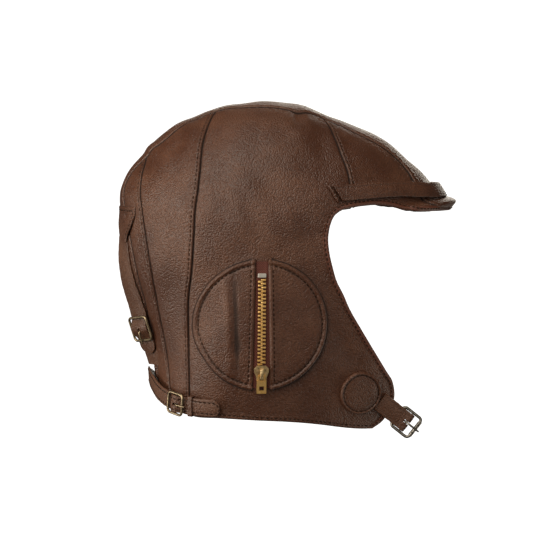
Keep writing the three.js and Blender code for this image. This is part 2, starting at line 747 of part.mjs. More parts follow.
// Runs round the shell at a height; from and to are shares of a quarter turn from the middle, left above zero
function ringPath(along, height, standOff, slope, count, from, to) {
  const points = [];
  const outs = [];
  for (const t of span(from, to, count)) {
    const angle = t * 90 * degrees;
    const dir = new THREE.Vector3(along * Math.cos(angle) * frontReach, Math.sin(angle) * halfWidth, 0);
    const z = typeof height === "function" ? height(t) : height;
    const start = new THREE.Vector3(earAxis.x + dir.x, dir.y, z);
    const p = atHeight(start.x, start.y, z);
    const n = outward(p);
    n.z *= slope(t);
    n.normalize();
    points.push(p.addScaledVector(n, standOff(t)));
    outs.push(n);
  }
  return rowsAlong(points, outs);
}

const browLand = browReach * 1.03;
const browRise = (t) => strapThick / 2 + gap + browStandOff * (1 - Math.pow(Math.abs(t) / browLand, 4));
const browSlope = (t) => 0.62 + 0.38 * Math.abs(t / browLand);
const browRows = ringPath(1, browStrapHeight, browRise, browSlope, 24, -browReach, browReach);

// The ends of the strap are cut aslant
const browEnds = [-1, 1].map((lean) => {
  const row = lean < 0 ? browRows[0] : browRows[browRows.length - 1];
  return { ...row, lean, across: row.across.clone().addScaledVector(row.along, lean * browLean) };
});
const browWhole = [browEnds[0], ...browRows.slice(1, -1), browEnds[1]];
add("brow_strap", strap(browWhole, browStrapWidth, strapThick), leather);

for (const side of [-1, 1]) {
  const end = browEnds[side < 0 ? 0 : 1];
  const rows = span(-1, 1, 4).map((t) => {
    const flat = end.middle.clone()
      .addScaledVector(end.along, end.lean * (capRadius + gap) * 1.25)
      .addScaledVector(end.across, (t * browStrapWidth) / 1.8);
    const p = ontoShell(flat);
    const n = outward(p);
    return { p: p.addScaledVector(n, gap + capRadius), n, t };
  });
  const path = rowsAlong(rows.map((row) => row.p), rows.map((row) => row.n));
  const cap = bar(path.map((row, i) => roundSection(row, capRadius * (i === 0 || i === 4 ? 0.7 : 1))));
  add(nameOf("brow_strap_end", side), cap, leather);
}

// A line that a strap follows, with its directions; lengths count from the marked share of the line
function strapLine(rows, mark) {
  const path = curve(rows.map((row) => row.middle));
  const total = path.getLength();
  const start = mark * total;
  const line = (length, height = 0) => {
    const share = THREE.MathUtils.clamp((start + length) / total, 0, 1);
    const beyond = start + length - share * total;
    const place = path.getUtoTmapping(share) * (rows.length - 1);
    const i = Math.min(Math.floor(place), rows.length - 2);
    const along = path.getTangentAt(share);
    const leaning = rows[i].out.clone().lerp(rows[i + 1].out, place - i);
    const across = new THREE.Vector3().crossVectors(leaning, along).normalize();
    const out = new THREE.Vector3().crossVectors(along, across).normalize();
    const middle = path.getPointAt(share).addScaledVector(along, beyond).addScaledVector(out, height);
    return { middle, along, across, out };
  };
  line.from = -start;
  return line;
}

// Sections of a strap that rises and falls along its line, from a table of [length, height]
function woven(line, levels, width, thick) {
  const rows = levels.map(([along, height]) => line(along, height));
  const again = rowsAlong(rows.map((row) => row.middle), rows.map((row) => row.out));
  return bar(again.map((row, i) => flatSection(row, Array.isArray(width) ? width[i] : width, thick)));
}

// Buckle frame: a rounded ring with a bar across its middle, in the plane of a row
function buckleFrame(row, width, length, barDrop) {
  const halfAcross = width / 2 - buckleWire / 2;
  const halfAlong = length / 2 - buckleWire / 2;
  const at = (a, b, h = 0) => row.middle.clone()
    .addScaledVector(row.across, a)
    .addScaledVector(row.along, b)
    .addScaledVector(row.out, h);
  const points = [];
  for (const [sa, sb] of [[1, 1], [-1, 1], [-1, -1], [1, -1]]) {
    const flip = sa * sb > 0 ? [0, 1, 2] : [2, 1, 0];
    for (const k of flip) {
      const angle = (k / 2) * 90 * degrees;
      points.push(at(
        sa * (halfAcross - cornerRadius * (1 - Math.cos(angle))),
        sb * (halfAlong - cornerRadius * (1 - Math.sin(angle))),
      ));
    }
  }
  const sections = points.map((middle, i) => {
    const next = points[(i + 1) % points.length];
    const before = points[(i + points.length - 1) % points.length];
    const along = next.clone().sub(before).normalize();
    const across = new THREE.Vector3().crossVectors(row.out, along).normalize();
    return roundSection({ middle, across, out: row.out }, buckleWire / 2, 6);
  });
  const ring = bar(sections, true);
  const end = (a) => ({ middle: at(a, 0, -barDrop), across: row.along, out: row.out });
  const ends = [-halfAcross, halfAcross].map((a) => roundSection(end(a), barRadius, 6));
  return joined([ring, bar(ends)]);
}

// Yoke patch on the back of the head, a little over to the right as the strap hangs
const yokeSide = -15;
const yokeHalf = 27;
const yokeTop = earAxis.z + crownRise * 0.2;
const yokeFoot = earAxis.z - flapDrop * 0.05;

const yokeRows = [
  // share down the yoke, half width share
  [0, 1], [0.25, 0.96], [0.55, 0.74], [0.8, 0.46], [1, 0.35],
];

const atBack = (y, z) => atHeight(earAxis.x - backReach, y, z);

function goggleYoke() {
  const across = (u, v) => yokeSide + u * yokeHalf * table(yokeRows, v);
  const place = (u, v) => atBack(across(u, v), yokeTop + (yokeFoot - yokeTop) * v);
  return laid(place, span(-1, 1, 8), span(0, 1, 6), 2 * gap, yokeThick);
}
add("goggle_yoke", goggleYoke(), leather);

// Goggle strap: falls free from under the yoke's foot, with its buckle near the nape
const goggleRows = [
  // share of flapDrop below the ear axis, share of goggleStandOff
  [0.054, 0.38], [0.12, 0.42], [0.2, 0.6], [0.29, 0.78], [0.38, 0.94], [0.47, 1], [0.56, 0.98],
  [0.62, 0.88], [0.68, 0.7], [0.72, 0.6], [0.775, 0.57],
];
const goggleBuckleAt = 0.5;
const strapSide = (share) => yokeSide - 4 * share;

const goggleLine = (() => {
  const points = [];
  const outs = [];
  for (const share of span(goggleRows[0][0], goggleRows[goggleRows.length - 1][0], 18)) {
    const p = atBack(strapSide(share), earAxis.z - share * flapDrop);
    const loose = table(goggleRows, share);
    const n = outward(p).add(new THREE.Vector3(0, -goggleTurn * loose, 0)).normalize();
    points.push(p.addScaledVector(n, goggleStandOff * loose));
    outs.push(n);
  }
  const rows = rowsAlong(points, outs);
  const from = goggleRows[0][0];
  return strapLine(rows, (goggleBuckleAt - from) / (goggleRows[goggleRows.length - 1][0] - from));
})();

const buckleLevel = strapThick / 2 + gap + buckleWire / 2;
const barDrop = 0.75;
const tongueTop = buckleLevel - barDrop + barRadius + gap + strapThick / 2;
const tabLevel = -(strapThick / 2 + gap + tabThick / 2);

const tabWrap = barRadius + gap + tabThick / 2;

// A fastened buckle on a strap line: frame, tongue through it, tab under it and prong over it
function fastened(line, strapWidth, frameLength, tongueTo, tabTo, steps) {
  const half = frameLength / 2;
  const flat = half - buckleWire * 0.9;
  const hump = barRadius * 1.6;
  const tip = strapWidth * 0.3;
  const frame = buckleFrame(line(0, buckleLevel), strapWidth + 2 * (buckleWire + gap), frameLength, barDrop);

  const far = span(line.from, -half - buckleWire, steps).map((length) => [length, 0]);
  const near = span(half + buckleWire, tongueTo - tip, 2).map((length) => [length, 0]);
  const over = [[-flat, 0.15], [-hump, tongueTop], [hump, tongueTop], [flat, 0.15]];
  const levels = [...far, ...over, ...near, [tongueTo, 0]];
  const widths = levels.map((_, i) => (i === levels.length - 1 ? strapWidth * 0.45 : strapWidth));
  const spot = line(hump, tongueTop);
  const slotSizes = [prongRadius * 2 + 2.5 * gap, slotLength, strapThick * 5];
  const slot = boxAt(spot.middle, spot.across, spot.along, spot.out, slotSizes);
  const tongue = cut(woven(line, levels, widths, strapThick), [slot]);

  const barLevel = buckleLevel - barDrop;
  const fold = [180, 225].map((angle) => [
    tabWrap * Math.cos(angle * degrees),
    barLevel + tabWrap * Math.sin(angle * degrees),
  ]);
  const under = barLevel - tabWrap;
  const rest = span(half + 4, tabTo, 4).map((length) => [length, tabLevel]);
  const tabLevels = [...fold, [0, under], [hump * 1.6, under], [half * 0.9, tabLevel], ...rest];
  const tab = woven(line, tabLevels, strapWidth * 0.94, tabThick);

  const prongLevel = buckleLevel + buckleWire / 2 + 1.8 * gap + prongRadius;
  const root = barLevel + barRadius + gap + prongRadius;
  const reach = [hump * 2, half - buckleWire / 2, half + prongTip];
  const prongLevels = [[hump, root], ...reach.map((length) => [length, prongLevel])];
  const rows = prongLevels.map(([length, height]) => line(length, height));
  const prongRows = rowsAlong(rows.map((row) => row.middle), rows.map((row) => row.out));
  const prong = bar(prongRows.map((row) => roundSection(row, prongRadius, 5)));
  return { frame, tongue, tab, prong };
}

const goggle = fastened(goggleLine, goggleStrapWidth, goggleBuckleLength, goggleTongue, goggleTabReach, 8);
add("goggle_strap", goggle.tongue, leather);
add("goggle_tab", goggle.tab, leather);
add("goggle_buckle", goggle.frame, oldBrass);
add("goggle_prong", goggle.prong, oldBrass);

// Nape strap: sewn on the left, round the nape and through the buckle on the right
const napeHeights = [
  // turn from the back towards the side as a share of a quarter, share of flapDrop below the ear axis
  [0, 0.757], [0.3, 0.791], [0.5, 0.825], [0.62, 0.848], [0.71, 0.862], [0.86, 0.87], [1, 0.872],
];
const napeFrom = 0.78;
const napeHeight = (t) => earAxis.z - flapDrop * table(napeHeights, Math.abs(t));
const napeSewn = strapThick / 2 + 1.8 * gap;
const napeRise = (t) => {
  const free = napeStandOff + 1.1 * THREE.MathUtils.smoothstep(-t, 0.3, 0.6);
  return THREE.MathUtils.lerp(free, napeSewn, THREE.MathUtils.smoothstep(t, 0.5, napeFrom));
};
const napeTo = -0.95;
const napeBuckleAt = -0.475;
const napeRows = ringPath(-1, napeHeight, napeRise, () => 0.8, 40, napeFrom, napeTo);
const napeLine = strapLine(napeRows, (napeBuckleAt - napeFrom) / (napeTo - napeFrom));
const nape = fastened(napeLine, napeStrapWidth, napeBuckleLength, napeTongue, napeTabReach, 13);
add("nape_strap", nape.tongue, leather);
add("nape_tab", nape.tab, leather);
add("nape_buckle", nape.frame, oldBrass);
add("nape_prong", nape.prong, oldBrass);

function napeKeeper() {
  const row = napeLine(napeBuckleLength / 2 + 4, 0);
  const wide = napeStrapWidth / 2 + gap + keeperThick / 2;
  const high = strapThick / 2 + gap + keeperThick / 2;
  const low = tabLevel - tabThick / 2 - gap - keeperThick / 2;
  const corners = [[-wide, low], [wide, low], [wide, high], [-wide, high]];
  return bar(corners.map(([a, h]) => {
    const middle = row.middle.clone().addScaledVector(row.across, a).addScaledVector(row.out, h);
    const diagonal = row.across.clone().multiplyScalar(Math.sign(a)).addScaledVector(row.out, h > 0 ? 1 : -1);
    return [[-1, -1], [1, -1], [1, 1], [-1, 1]].map(([p, q]) => middle.clone()
      .addScaledVector(row.along, p * keeperHalf).addScaledVector(diagonal, (q * keeperThick) / 2));
  }), true);
}
add("nape_keeper", napeKeeper(), leather);

// Chin patches, and the strap that leaves each towards the chin
const chinPatchAt = [0.476, -0.817];
const [chinX, chinZ] = sidePoint(chinPatchAt[0], chinPatchAt[1]);

const chinRings = [
  // share of the radius, share of chinPatchThick: a ridge at the edge with a groove inside it
  [0.02, 1], [0.55, 1], [0.86, 0.75], [0.93, 1.15], [1, 0.9],
];

function chinPatch(side) {
  const count = 12;
  const layer = (height) => chinRings.map(([share, thick]) => span(0, 1 - 1 / count, count - 1).map((t) => {
    const angle = t * turn;
    const r = chinPatchRadius * share;
    const p = atPlace(chinX + r * Math.cos(angle), chinZ + r * Math.sin(angle), side);
    return p.addScaledVector(outward(p), height(thick));
  }));
  const top = layer((thick) => gap + chinPatchThick * thick);
  const foot = layer(() => gap);
  return bar([...top, ...foot.reverse()]);
}

const chinStart = 24 * degrees;
const chinDown = 39 * degrees;
const chinIn = 8 * degrees;
function chinFrame(side) {
  const clear = chinPatchRadius + 3 * gap;
  const start = atPlace(chinX + clear * Math.cos(chinStart), chinZ - clear * Math.sin(chinStart), side);
  const n = outward(start);
  const level = Math.cos(chinIn);
  const down = Math.sin(chinDown) * level;
  const along = new THREE.Vector3(Math.cos(chinDown) * level, -side * Math.sin(chinIn), -down);
  const across = new THREE.Vector3().crossVectors(n, along).normalize();
  const out = new THREE.Vector3().crossVectors(along, across).normalize();
  return { middle: start.addScaledVector(n, gap + strapThick / 2), along, across, out };
}

// The strap goes over the rear bar of the frame, round its middle bar and back beneath itself
const chinWrap = barRadius + gap + strapThick / 2;
const foldLevel = -(strapThick + gap) / 2;
const rearLevel = -(1.5 * strapThick + 2 * gap + buckleWire / 2);
const chinHalf = (chinBuckleLength - buckleWire) / 2;
const chinTilt = Math.asin((foldLevel - rearLevel) / chinHalf);

function chinPlace(frame, length, height) {
  return frame.middle.clone().addScaledVector(frame.along, length).addScaledVector(frame.out, height);
}

function chinStrap(frame) {
  const round = span(75, -75, 5).map((angle) => [
    chinStrapReach + chinWrap * Math.cos(angle * degrees),
    foldLevel + chinWrap * Math.sin(angle * degrees),
  ]);
  const beneath = -strapThick - gap;
  const rear = chinStrapReach - chinHalf;
  const back = [[rear + 2, beneath], [rear - 2, beneath], [rear - 6, beneath]];
  const path = [[0, 0], [rear - 2, 0], [rear + 2, 0], ...round, ...back];
  const points = path.map(([length, height]) => chinPlace(frame, length, height));
  const outs = path.map((_, i) => {
    const along = points[Math.min(i + 1, points.length - 1)].clone().sub(points[Math.max(i - 1, 0)]);
    return new THREE.Vector3().crossVectors(along, frame.across).normalize();
  });
  const row = (middle, i) => ({ middle, across: frame.across, out: outs[i] });
  const sections = points.map((middle, i) => flatSection(row(middle, i), chinStrapWidth, strapThick));
  const middle = chinPlace(frame, chinStrapReach + chinWrap * 0.6, foldLevel);
  const slotSizes = [prongRadius * 2 + 1, chinWrap * 4.6, chinWrap * 4];
  const slot = boxAt(middle, frame.across, frame.along, frame.out, slotSizes);
  return cut(bar(sections), [slot]);
}

for (const side of [-1, 1]) {
  add(nameOf("chin_patch", side), chinPatch(side), leather);
}
const chinRight = chinFrame(-1);
add("chin_strap_right", chinStrap(chinRight), leather);

const chinPivot = {
  middle: chinPlace(chinRight, chinStrapReach, foldLevel),
  across: chinRight.across,
  along: chinRight.along.clone().applyAxisAngle(chinRight.across, -chinTilt),
  out: chinRight.out.clone().applyAxisAngle(chinRight.across, -chinTilt),
};
add("chin_buckle", buckleFrame(chinPivot, chinBuckleWidth, chinBuckleLength, 0), gunmetal);

function chinProng() {
  const eyeThick = 0.8;
  const eye = barRadius + gap + eyeThick / 2;
  const ring = bar(span(0, 360 - 45, 7).map((angle) => {
    const c = Math.cos(angle * degrees);
    const s = Math.sin(angle * degrees);
    const out = chinPivot.along.clone().multiplyScalar(c).addScaledVector(chinPivot.out, s);
    const middle = chinPivot.middle.clone().addScaledVector(out, eye);
    return flatSection({ middle, across: chinPivot.across, out }, prongRadius * 2, eyeThick);
  }), true);
  const over = buckleWire / 2 + gap + prongRadius;
  const path = [[0.4, eye], [3, over + 0.5], [chinHalf, over], [chinHalf + 3.5, over - 0.6]];
  const points = path.map(([length, height]) => chinPlace(chinPivot, length, height));
  const rows = rowsAlong(points, points.map(() => chinPivot.out));
  const shaft = bar(rows.map((row, i) => roundSection(row, prongRadius * (i === 3 ? 0.6 : 1), 5)));
  return joined([ring, shaft]);
}
add("chin_prong", chinProng(), gunmetal);

// The left strap is a plain tongue with holes
function chinTongue() {
  const frame = chinFrame(1);
  const length = chinStrapReach + chinHalf;
  const at = (along) => ({ ...frame, middle: chinPlace(frame, along, 0) });
  const stops = [[0, 1], [length * 0.5, 1], [length - chinStrapWidth * 0.3, 1], [length, 0.4]];
  const rows = stops.map(([along, wide]) => flatSection(at(along), chinStrapWidth * wide, strapThick));
  const holeSizes = [holeWidth, holeWidth, strapThick * 3];
  const hole = (share) => boxAt(at(length * share).middle, frame.across, frame.along, frame.out, holeSizes);
  return cut(bar(rows), [0.3, 0.53, 0.75].map(hole));
}
add("chin_strap_left", chinTongue(), leather);

export default group;
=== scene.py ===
# %% [markdown]
# # A leather flying helmet
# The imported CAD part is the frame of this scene: it fixes the size, the place and the moving bodies.
# Each cell below builds one group of visible pieces over that frame, in the same place and form,
# and adds what a photograph shows and a CAD solid leaves out: rolled seams, stitches, grain and polish.
# Lengths in the tables are in millimetres. A mesh gets metres.

import math

import bpy
import numpy as np
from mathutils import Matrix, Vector


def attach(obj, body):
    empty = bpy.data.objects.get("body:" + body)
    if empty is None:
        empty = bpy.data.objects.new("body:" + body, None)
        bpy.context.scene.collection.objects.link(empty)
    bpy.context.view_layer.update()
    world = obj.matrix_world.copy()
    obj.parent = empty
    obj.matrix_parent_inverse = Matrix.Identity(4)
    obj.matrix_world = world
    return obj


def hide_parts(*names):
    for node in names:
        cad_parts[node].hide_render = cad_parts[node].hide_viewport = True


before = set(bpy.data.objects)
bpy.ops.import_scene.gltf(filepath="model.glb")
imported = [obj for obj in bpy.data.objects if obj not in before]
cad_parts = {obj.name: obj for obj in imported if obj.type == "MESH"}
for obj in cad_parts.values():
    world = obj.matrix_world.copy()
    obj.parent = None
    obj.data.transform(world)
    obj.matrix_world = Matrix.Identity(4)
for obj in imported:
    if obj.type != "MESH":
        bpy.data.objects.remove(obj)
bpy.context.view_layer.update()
print("CAD nodes:", len(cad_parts))

# %% [markdown]
# ## The form of the shell
# The shell is one smooth surface round an ear axis. Its outline in the side view is a table of points,
# and from each outline point it closes over to the widest line of the head like an ellipse.
# Everything that lies on the leather is placed with the same few functions.

# %% Sizes and tables
# EAR is the middle of the ear axis. FRONT, BACK, RISE, DROP and HALF are the reach of the shell from it.
EAR = np.array([-8.0, 0.0, -92.0])
FRONT, BACK, RISE, DROP = 147.5, 95.5, 93.6, 137.0
HALF, ROUND, BAND = 80.0, 2.1, 25.0
WALL, GAP = 1.6, 0.3
RIGHT, LEFT = -1, 1
SIDES = {RIGHT: "right", LEFT: "left"}

# Each place is a share of FRONT or BACK, then a share of RISE or DROP.
OUTLINE = [
    (1.01, 0.237), (0.94, 0.275), (0.9, 0.335), (0.825, 0.465), (0.76, 0.555), (0.66, 0.69), (0.53, 0.79),
    (0.445, 0.845), (0.37, 0.885), (0.3, 0.935), (0.245, 0.968), (0.155, 0.988), (0.055, 0.997),
    (-0.065, 0.985), (-0.22, 0.965), (-0.34, 0.925), (-0.445, 0.878), (-0.58, 0.82), (-0.735, 0.7),
    (-0.795, 0.65), (-0.83, 0.59), (-0.935, 0.47), (-1.0, 0.325), (-1.007, 0.24), (-1.0, 0.15),
    (-0.993, 0.01), (-0.983, -0.105), (-0.935, -0.26), (-0.868, -0.386), (-0.8, -0.54),
    (-0.768, -0.64), (-0.742, -0.77), (-0.735, -0.95), (-0.7, -1.25), (-0.45, -1.58), (0, -1.68),
    (0.4, -1.5), (0.72, -1.18), (0.95, -0.75), (1.02, -0.35), (0.99, 0), (0.965, 0.14),
]
FRONT_SEAM = [(0.344, 0.82), (0.362, 0.732), (0.385, 0.6), (0.408, 0.482), (0.418, 0.393), (0.427, 0.2)]
SIDE_SEAM = [
    (-0.398, 0.727), (-0.426, 0.615), (-0.442, 0.476), (-0.459, 0.344), (-0.479, 0.221),
    (-0.491, 0.053), (-0.5, -0.08), (-0.508, -0.176), (-0.531, -0.33), (-0.53, -0.479),
    (-0.527, -0.623), (-0.524, -0.792), (-0.523, -0.922),
]
REAR_SEAM = [
    (-0.839, 0.488), (-0.864, 0.362), (-0.861, 0.214), (-0.846, 0.088), (-0.822, -0.057),
    (-0.792, -0.185), (-0.752, -0.341), (-0.71, -0.493), (-0.674, -0.639), (-0.658, -0.773),
    (-0.64, -0.879),
]
BROW_EDGE = [(0.79, 0.158), (0.745, 0.163), (0.67, 0.191), (0.617, 0.207), (0.544, 0.218), (0.427, 0.2)]
FACE_EDGE = [
    (0.427, 0.2), (0.377, 0.182), (0.34, 0.143), (0.322, 0.095), (0.311, 0.029), (0.307, -0.025),
    (0.314, -0.096), (0.328, -0.161), (0.348, -0.233), (0.382, -0.304), (0.413, -0.377),
    (0.505, -0.54), (0.605, -0.708), (0.641, -0.769), (0.652, -0.868), (0.601, -0.975), (0.545, -1.017),
]
HEM = [(0.545, -1.017), (0.514, -1.015), (0.281, -0.977), (0.039, -0.949), (-0.303, -0.933), (-0.523, -0.922)]
BACK_HEM = [(-0.64, -0.879), (-0.707, -0.832), (-0.735, -0.79)]
# angle round the ear axis in degrees, share of BAND on each side of the middle
BAND_WIDTH = [
    (6, 1.78), (12, 1.7), (18, 1.5), (25, 1.24), (35, 1.24), (45, 1.17), (54, 1.04), (60, 0.98),
    (65, 1.03), (71, 1.14), (79, 1.1), (90, 0.97), (104, 0.78), (108, 0.74), (118, 0.67),
    (127, 0.84), (134, 0.92), (141, 0.84), (145, 0.78), (153, 0.68), (160, 0.64), (169, 0.82),
    (180, 1.06), (190, 1.2), (198, 1.2), (211, 1.04), (223, 0.78), (231, 0.64), (237, 0.62),
]
BROW_UP, FRONT_ANGLE, SIDE_ANGLE, REAR_ANGLE, NAPE_ANGLE = 0.16, 60, 108, 145, 236.6
FOLD_DEPTH = 2.2
# place, half length, half width, turn in degrees, share of the depth
FOLDS = [
    (0.06, 0.3, 0.3, 0.1, -42, 1.0), (0.13, 0.16, 0.28, 0.08, -48, -0.7),
    (0.2, 0.05, 0.24, 0.09, -52, 0.8), (-0.08, 0.14, 0.24, 0.09, -60, 0.6),
    (0.3, 0.62, 0.1, 0.2, 0, 0.5), (-0.3, 0.35, 0.12, 0.4, 5, 0.5),
    (-0.66, 0.2, 0.1, 0.3, 0, 0.5), (-0.64, -0.3, 0.09, 0.3, 6, 0.7),
    (-0.4, -0.6, 0.1, 0.3, 0, 0.6), (0.42, -0.62, 0.1, 0.3, 35, 0.6),
    (-0.6, 0.66, 0.1, 0.07, 40, 1.1), (0.2, 0.88, 0.07, 0.09, 0, 1.2),
]

print("points of the outline:", len(OUTLINE))


# %% Curves through tables
def hermite(xs, ys, slopes, q):
    """Smooth value at q of a table of places xs, values ys and slopes."""
    i = np.clip(np.searchsorted(xs, q, side="right") - 1, 0, len(xs) - 2)
    step = xs[i + 1] - xs[i]
    t = np.clip((q - xs[i]) / step, 0, 1)
    rise = (t**3 - 2 * t**2 + t) * step * slopes[i] + (t**3 - t**2) * step * slopes[i + 1]
    return (2 * t**3 - 3 * t**2 + 1) * ys[i] + (3 * t**2 - 2 * t**3) * ys[i + 1] + rise


def table(rows, q):
    """Value at q of a plain table of (place, value) rows, level at both ends."""
    xs, ys = np.array(rows, float).T
    slopes = np.zeros(len(xs))
    slopes[1:-1] = (ys[2:] - ys[:-2]) / (xs[2:] - xs[:-2])
    return hermite(xs, ys, slopes, np.asarray(q, float))


def side_point(along, up):
    """Side-view place in mm of a place given in shares."""
    along, up = np.asarray(along, float), np.asarray(up, float)
    x = EAR[0] + along * np.where(along > 0, FRONT, BACK)
    z = EAR[2] + up * np.where(up > 0, RISE, DROP)
    return x, z


def ring_of_outline():
    """The outline as a table of angle, distance from the ear axis and slope, joined round."""
    along, up = np.array(OUTLINE, float).T
    x, z = side_point(along, up)
    angle = np.mod(np.arctan2(z - EAR[2], x - EAR[0]), 2 * math.pi)
    order = np.argsort(angle)
    angle, radius = angle[order], np.hypot(x - EAR[0], z - EAR[2])[order]
    angle = np.concatenate([angle[-2:] - 2 * math.pi, angle, angle[:2] + 2 * math.pi])
    radius = np.concatenate([radius[-2:], radius, radius[:2]])
    slopes = np.zeros(len(angle))
    slopes[1:-1] = (radius[2:] - radius[:-2]) / (angle[2:] - angle[:-2])
    return angle, radius, slopes


RING = ring_of_outline()


def reach(angle):
    """Distance from the ear axis to the outline at an angle in radians."""
    return hermite(*RING, np.mod(angle, 2 * math.pi))


class Line:
    """A smooth line through points, measured by its length: at(0) is its start and at(1) its end."""

    def __init__(self, points):
        p = np.array(points, float)
        self.p = np.vstack([2 * p[0] - p[1], p, 2 * p[-1] - p[-2]])
        self.spans = len(p) - 1
        self.t = np.linspace(0, 1, 801)
        steps = np.linalg.norm(np.diff(self.point(self.t), axis=0), axis=1)
        self.s = np.concatenate([[0], np.cumsum(steps)])
        self.length = self.s[-1]

    def point(self, t):
        q = np.clip(t, 0, 1) * self.spans
        i = np.minimum(q.astype(int), self.spans - 1)
        w = (q - i)[:, None]
        a, b, c, d = self.p[i], self.p[i + 1], self.p[i + 2], self.p[i + 3]

        def gap_of(one, two):
            return np.maximum(((one - two) ** 2).sum(1) ** 0.25, 1e-4)[:, None]

        g0, g1, g2 = gap_of(a, b), gap_of(b, c), gap_of(c, d)
        m1 = ((b - a) / g0 - (c - a) / (g0 + g1) + (c - b) / g1) * g1
        m2 = ((c - b) / g1 - (d - b) / (g1 + g2) + (d - c) / g2) * g1
        return b + m1 * w + (3 * (c - b) - 2 * m1 - m2) * w**2 + (2 * (b - c) + m1 + m2) * w**3

    def place(self, u):
        return np.interp(np.clip(np.atleast_1d(u), 0, 1) * self.length, self.s, self.t)

    def at(self, u):
        return self.point(self.place(u))


# %% Points of the shell
OFF_AXIS = [0.3, 0.2, 0.93]
FRONT_GUESS = 7.0


def unit(v):
    return v / np.maximum(np.linalg.norm(v, axis=-1, keepdims=True), 1e-12)


def pressed(x, z):
    """How far the big folds press a point in."""
    depth = np.zeros_like(x)
    for along, up, half_along, half_up, angle, share in FOLDS:
        cx, cz = side_point(along, up)
        c, s = math.cos(math.radians(angle)), math.sin(math.radians(angle))
        a = ((x - cx) * c + (z - cz) * s) / (half_along * RISE)
        b = ((z - cz) * c - (x - cx) * s) / (half_up * RISE)
        depth += share * FOLD_DEPTH * np.exp(-(a * a + b * b) * 2)
    return depth


def onto_shell(points):
    """Moves points along their ray from the ear axis onto the shell."""
    p = np.atleast_2d(points) - EAR
    out = np.hypot(p[:, 0], p[:, 2]) / reach(np.arctan2(p[:, 2], p[:, 0]))
    level = out**ROUND + (np.abs(p[:, 1]) / HALF) ** ROUND
    p = p * (level ** (-1 / ROUND))[:, None]
    length = np.linalg.norm(p, axis=1)
    dent = pressed(p[:, 0] + EAR[0], p[:, 2] + EAR[2]) * np.minimum(1, np.abs(p[:, 1]) / BAND)
    return p * ((length - dent) / length)[:, None] + EAR


def at_place(x, z, side):
    """Point of the shell at a place of the side view."""
    x, z = np.atleast_1d(np.asarray(x, float)), np.atleast_1d(np.asarray(z, float))
    out = np.hypot(x - EAR[0], z - EAR[2]) / reach(np.arctan2(z - EAR[2], x - EAR[0]))
    y = HALF * np.maximum(0, 1 - out**ROUND) ** (1 / ROUND)
    return onto_shell(np.stack([x, side * y, z], 1))


def on_side(row, side):
    x, z = side_point(row[0], row[1])
    return at_place(x, z, side)[0]


def at_height(x, y, z):
    """Point of the shell at a height, straight out from the middle plane towards (x, y)."""
    p = np.stack(np.broadcast_arrays(*[np.asarray(v, float) for v in (x, y, z)]), 1).astype(float)
    for _ in range(6):
        p = onto_shell(p)
        p[:, 2] = z
    return onto_shell(p)


def outward(p):
    """Outward direction of the shell at points on it."""
    from_axis = unit(p - EAR)
    a = unit(np.cross(from_axis, OFF_AXIS))
    b = unit(np.cross(from_axis, a))
    n = unit(np.cross(onto_shell(p + a) - onto_shell(p - a), onto_shell(p + b) - onto_shell(p - b)))
    return n * np.where((n * from_axis).sum(1) < 0, -1, 1)[:, None]


def band_point(angle, side, share=1.0):
    """Point at an angle round the ear axis, at a share of the crown band's half width."""
    angle, share = np.broadcast_arrays(np.asarray(angle, float), np.asarray(share, float))
    angle, share = np.atleast_1d(angle), np.atleast_1d(share)
    y = side * share * BAND * table(BAND_WIDTH, angle)
    r = (1 - (np.abs(y) / HALF) ** ROUND) ** (1 / ROUND) * reach(np.radians(angle))
    turn = np.radians(angle)
    return onto_shell(np.stack([EAR[0] + r * np.cos(turn), y, EAR[2] + r * np.sin(turn)], 1))


def angle_at_rise(rise, share):
    """Angle at which a line of the crown band passes a height over the ear axis."""
    share = np.atleast_1d(np.asarray(share, float))
    angle = np.full(share.shape, FRONT_GUESS)
    for _ in range(8):
        p = band_point(angle, LEFT, share) - EAR
        angle = np.degrees(np.arcsin(rise / np.hypot(p[:, 0], p[:, 2])))
    return angle


def side_line(rows, side, first=None):
    """A line over one side through places of the side view."""
    start = [] if first is None else [first]
    return Line(start + [on_side(row, side) for row in rows])


def band_seam(start, end, side):
    """The seam beside the crown band between two angles."""
    return Line(band_point(np.linspace(start, end, 25), side))


BROW_ANGLE = float(angle_at_rise(BROW_UP * RISE, 1.0)[0])
print("top of the crown:", onto_shell(np.array([[0.0, 0.0, 50.0]]))[0].round(1))

# %% [markdown]
# ## How a piece is made
# A grid or a sphere from `bpy.ops` gives the corners and faces. A function then moves each corner
# to its place. The modifiers that follow, such as Solidify, are applied, so that all is plain mesh.


# %% Making pieces
# WELD is in metres. The angles, in degrees, are the sharpest that still look smooth on a sheet or a bar.
WELD = 0.00001
SHEET_ANGLE, BAR_ANGLE, HARD_ANGLE = 60, 50, 40
CUT_DEEP = 8.0


def deselect():
    for o in bpy.context.selected_objects:
        o.select_set(False)


def pick(o):
    """Makes a piece the only selected one and the active one."""
    deselect()
    bpy.context.view_layer.objects.active = o
    o.select_set(True)


def start_edit(o, action="SELECT"):
    pick(o)
    bpy.ops.object.mode_set(mode="EDIT")
    bpy.ops.mesh.select_all(action=action)


def apply_modifier(o, kind, **values):
    pick(o)
    m = o.modifiers.new(kind.title(), kind)
    for key, value in values.items():
        setattr(m, key, value)
    bpy.ops.object.modifier_apply(modifier=m.name)


def cut(o, tool):
    """Cuts the tool's form out of a piece, and removes the tool."""
    apply_modifier(o, "BOOLEAN", object=tool, operation="DIFFERENCE", solver="EXACT")
    bpy.data.objects.remove(tool)


# %% Corners and finish
def corners_of(o):
    co = np.zeros(len(o.data.vertices) * 3)
    o.data.vertices.foreach_get("co", co)
    return co.reshape(-1, 3)


def set_corners(o, points_mm):
    o.data.vertices.foreach_set("co", (np.asarray(points_mm) / 1000).astype(np.float32).ravel())
    o.data.update()


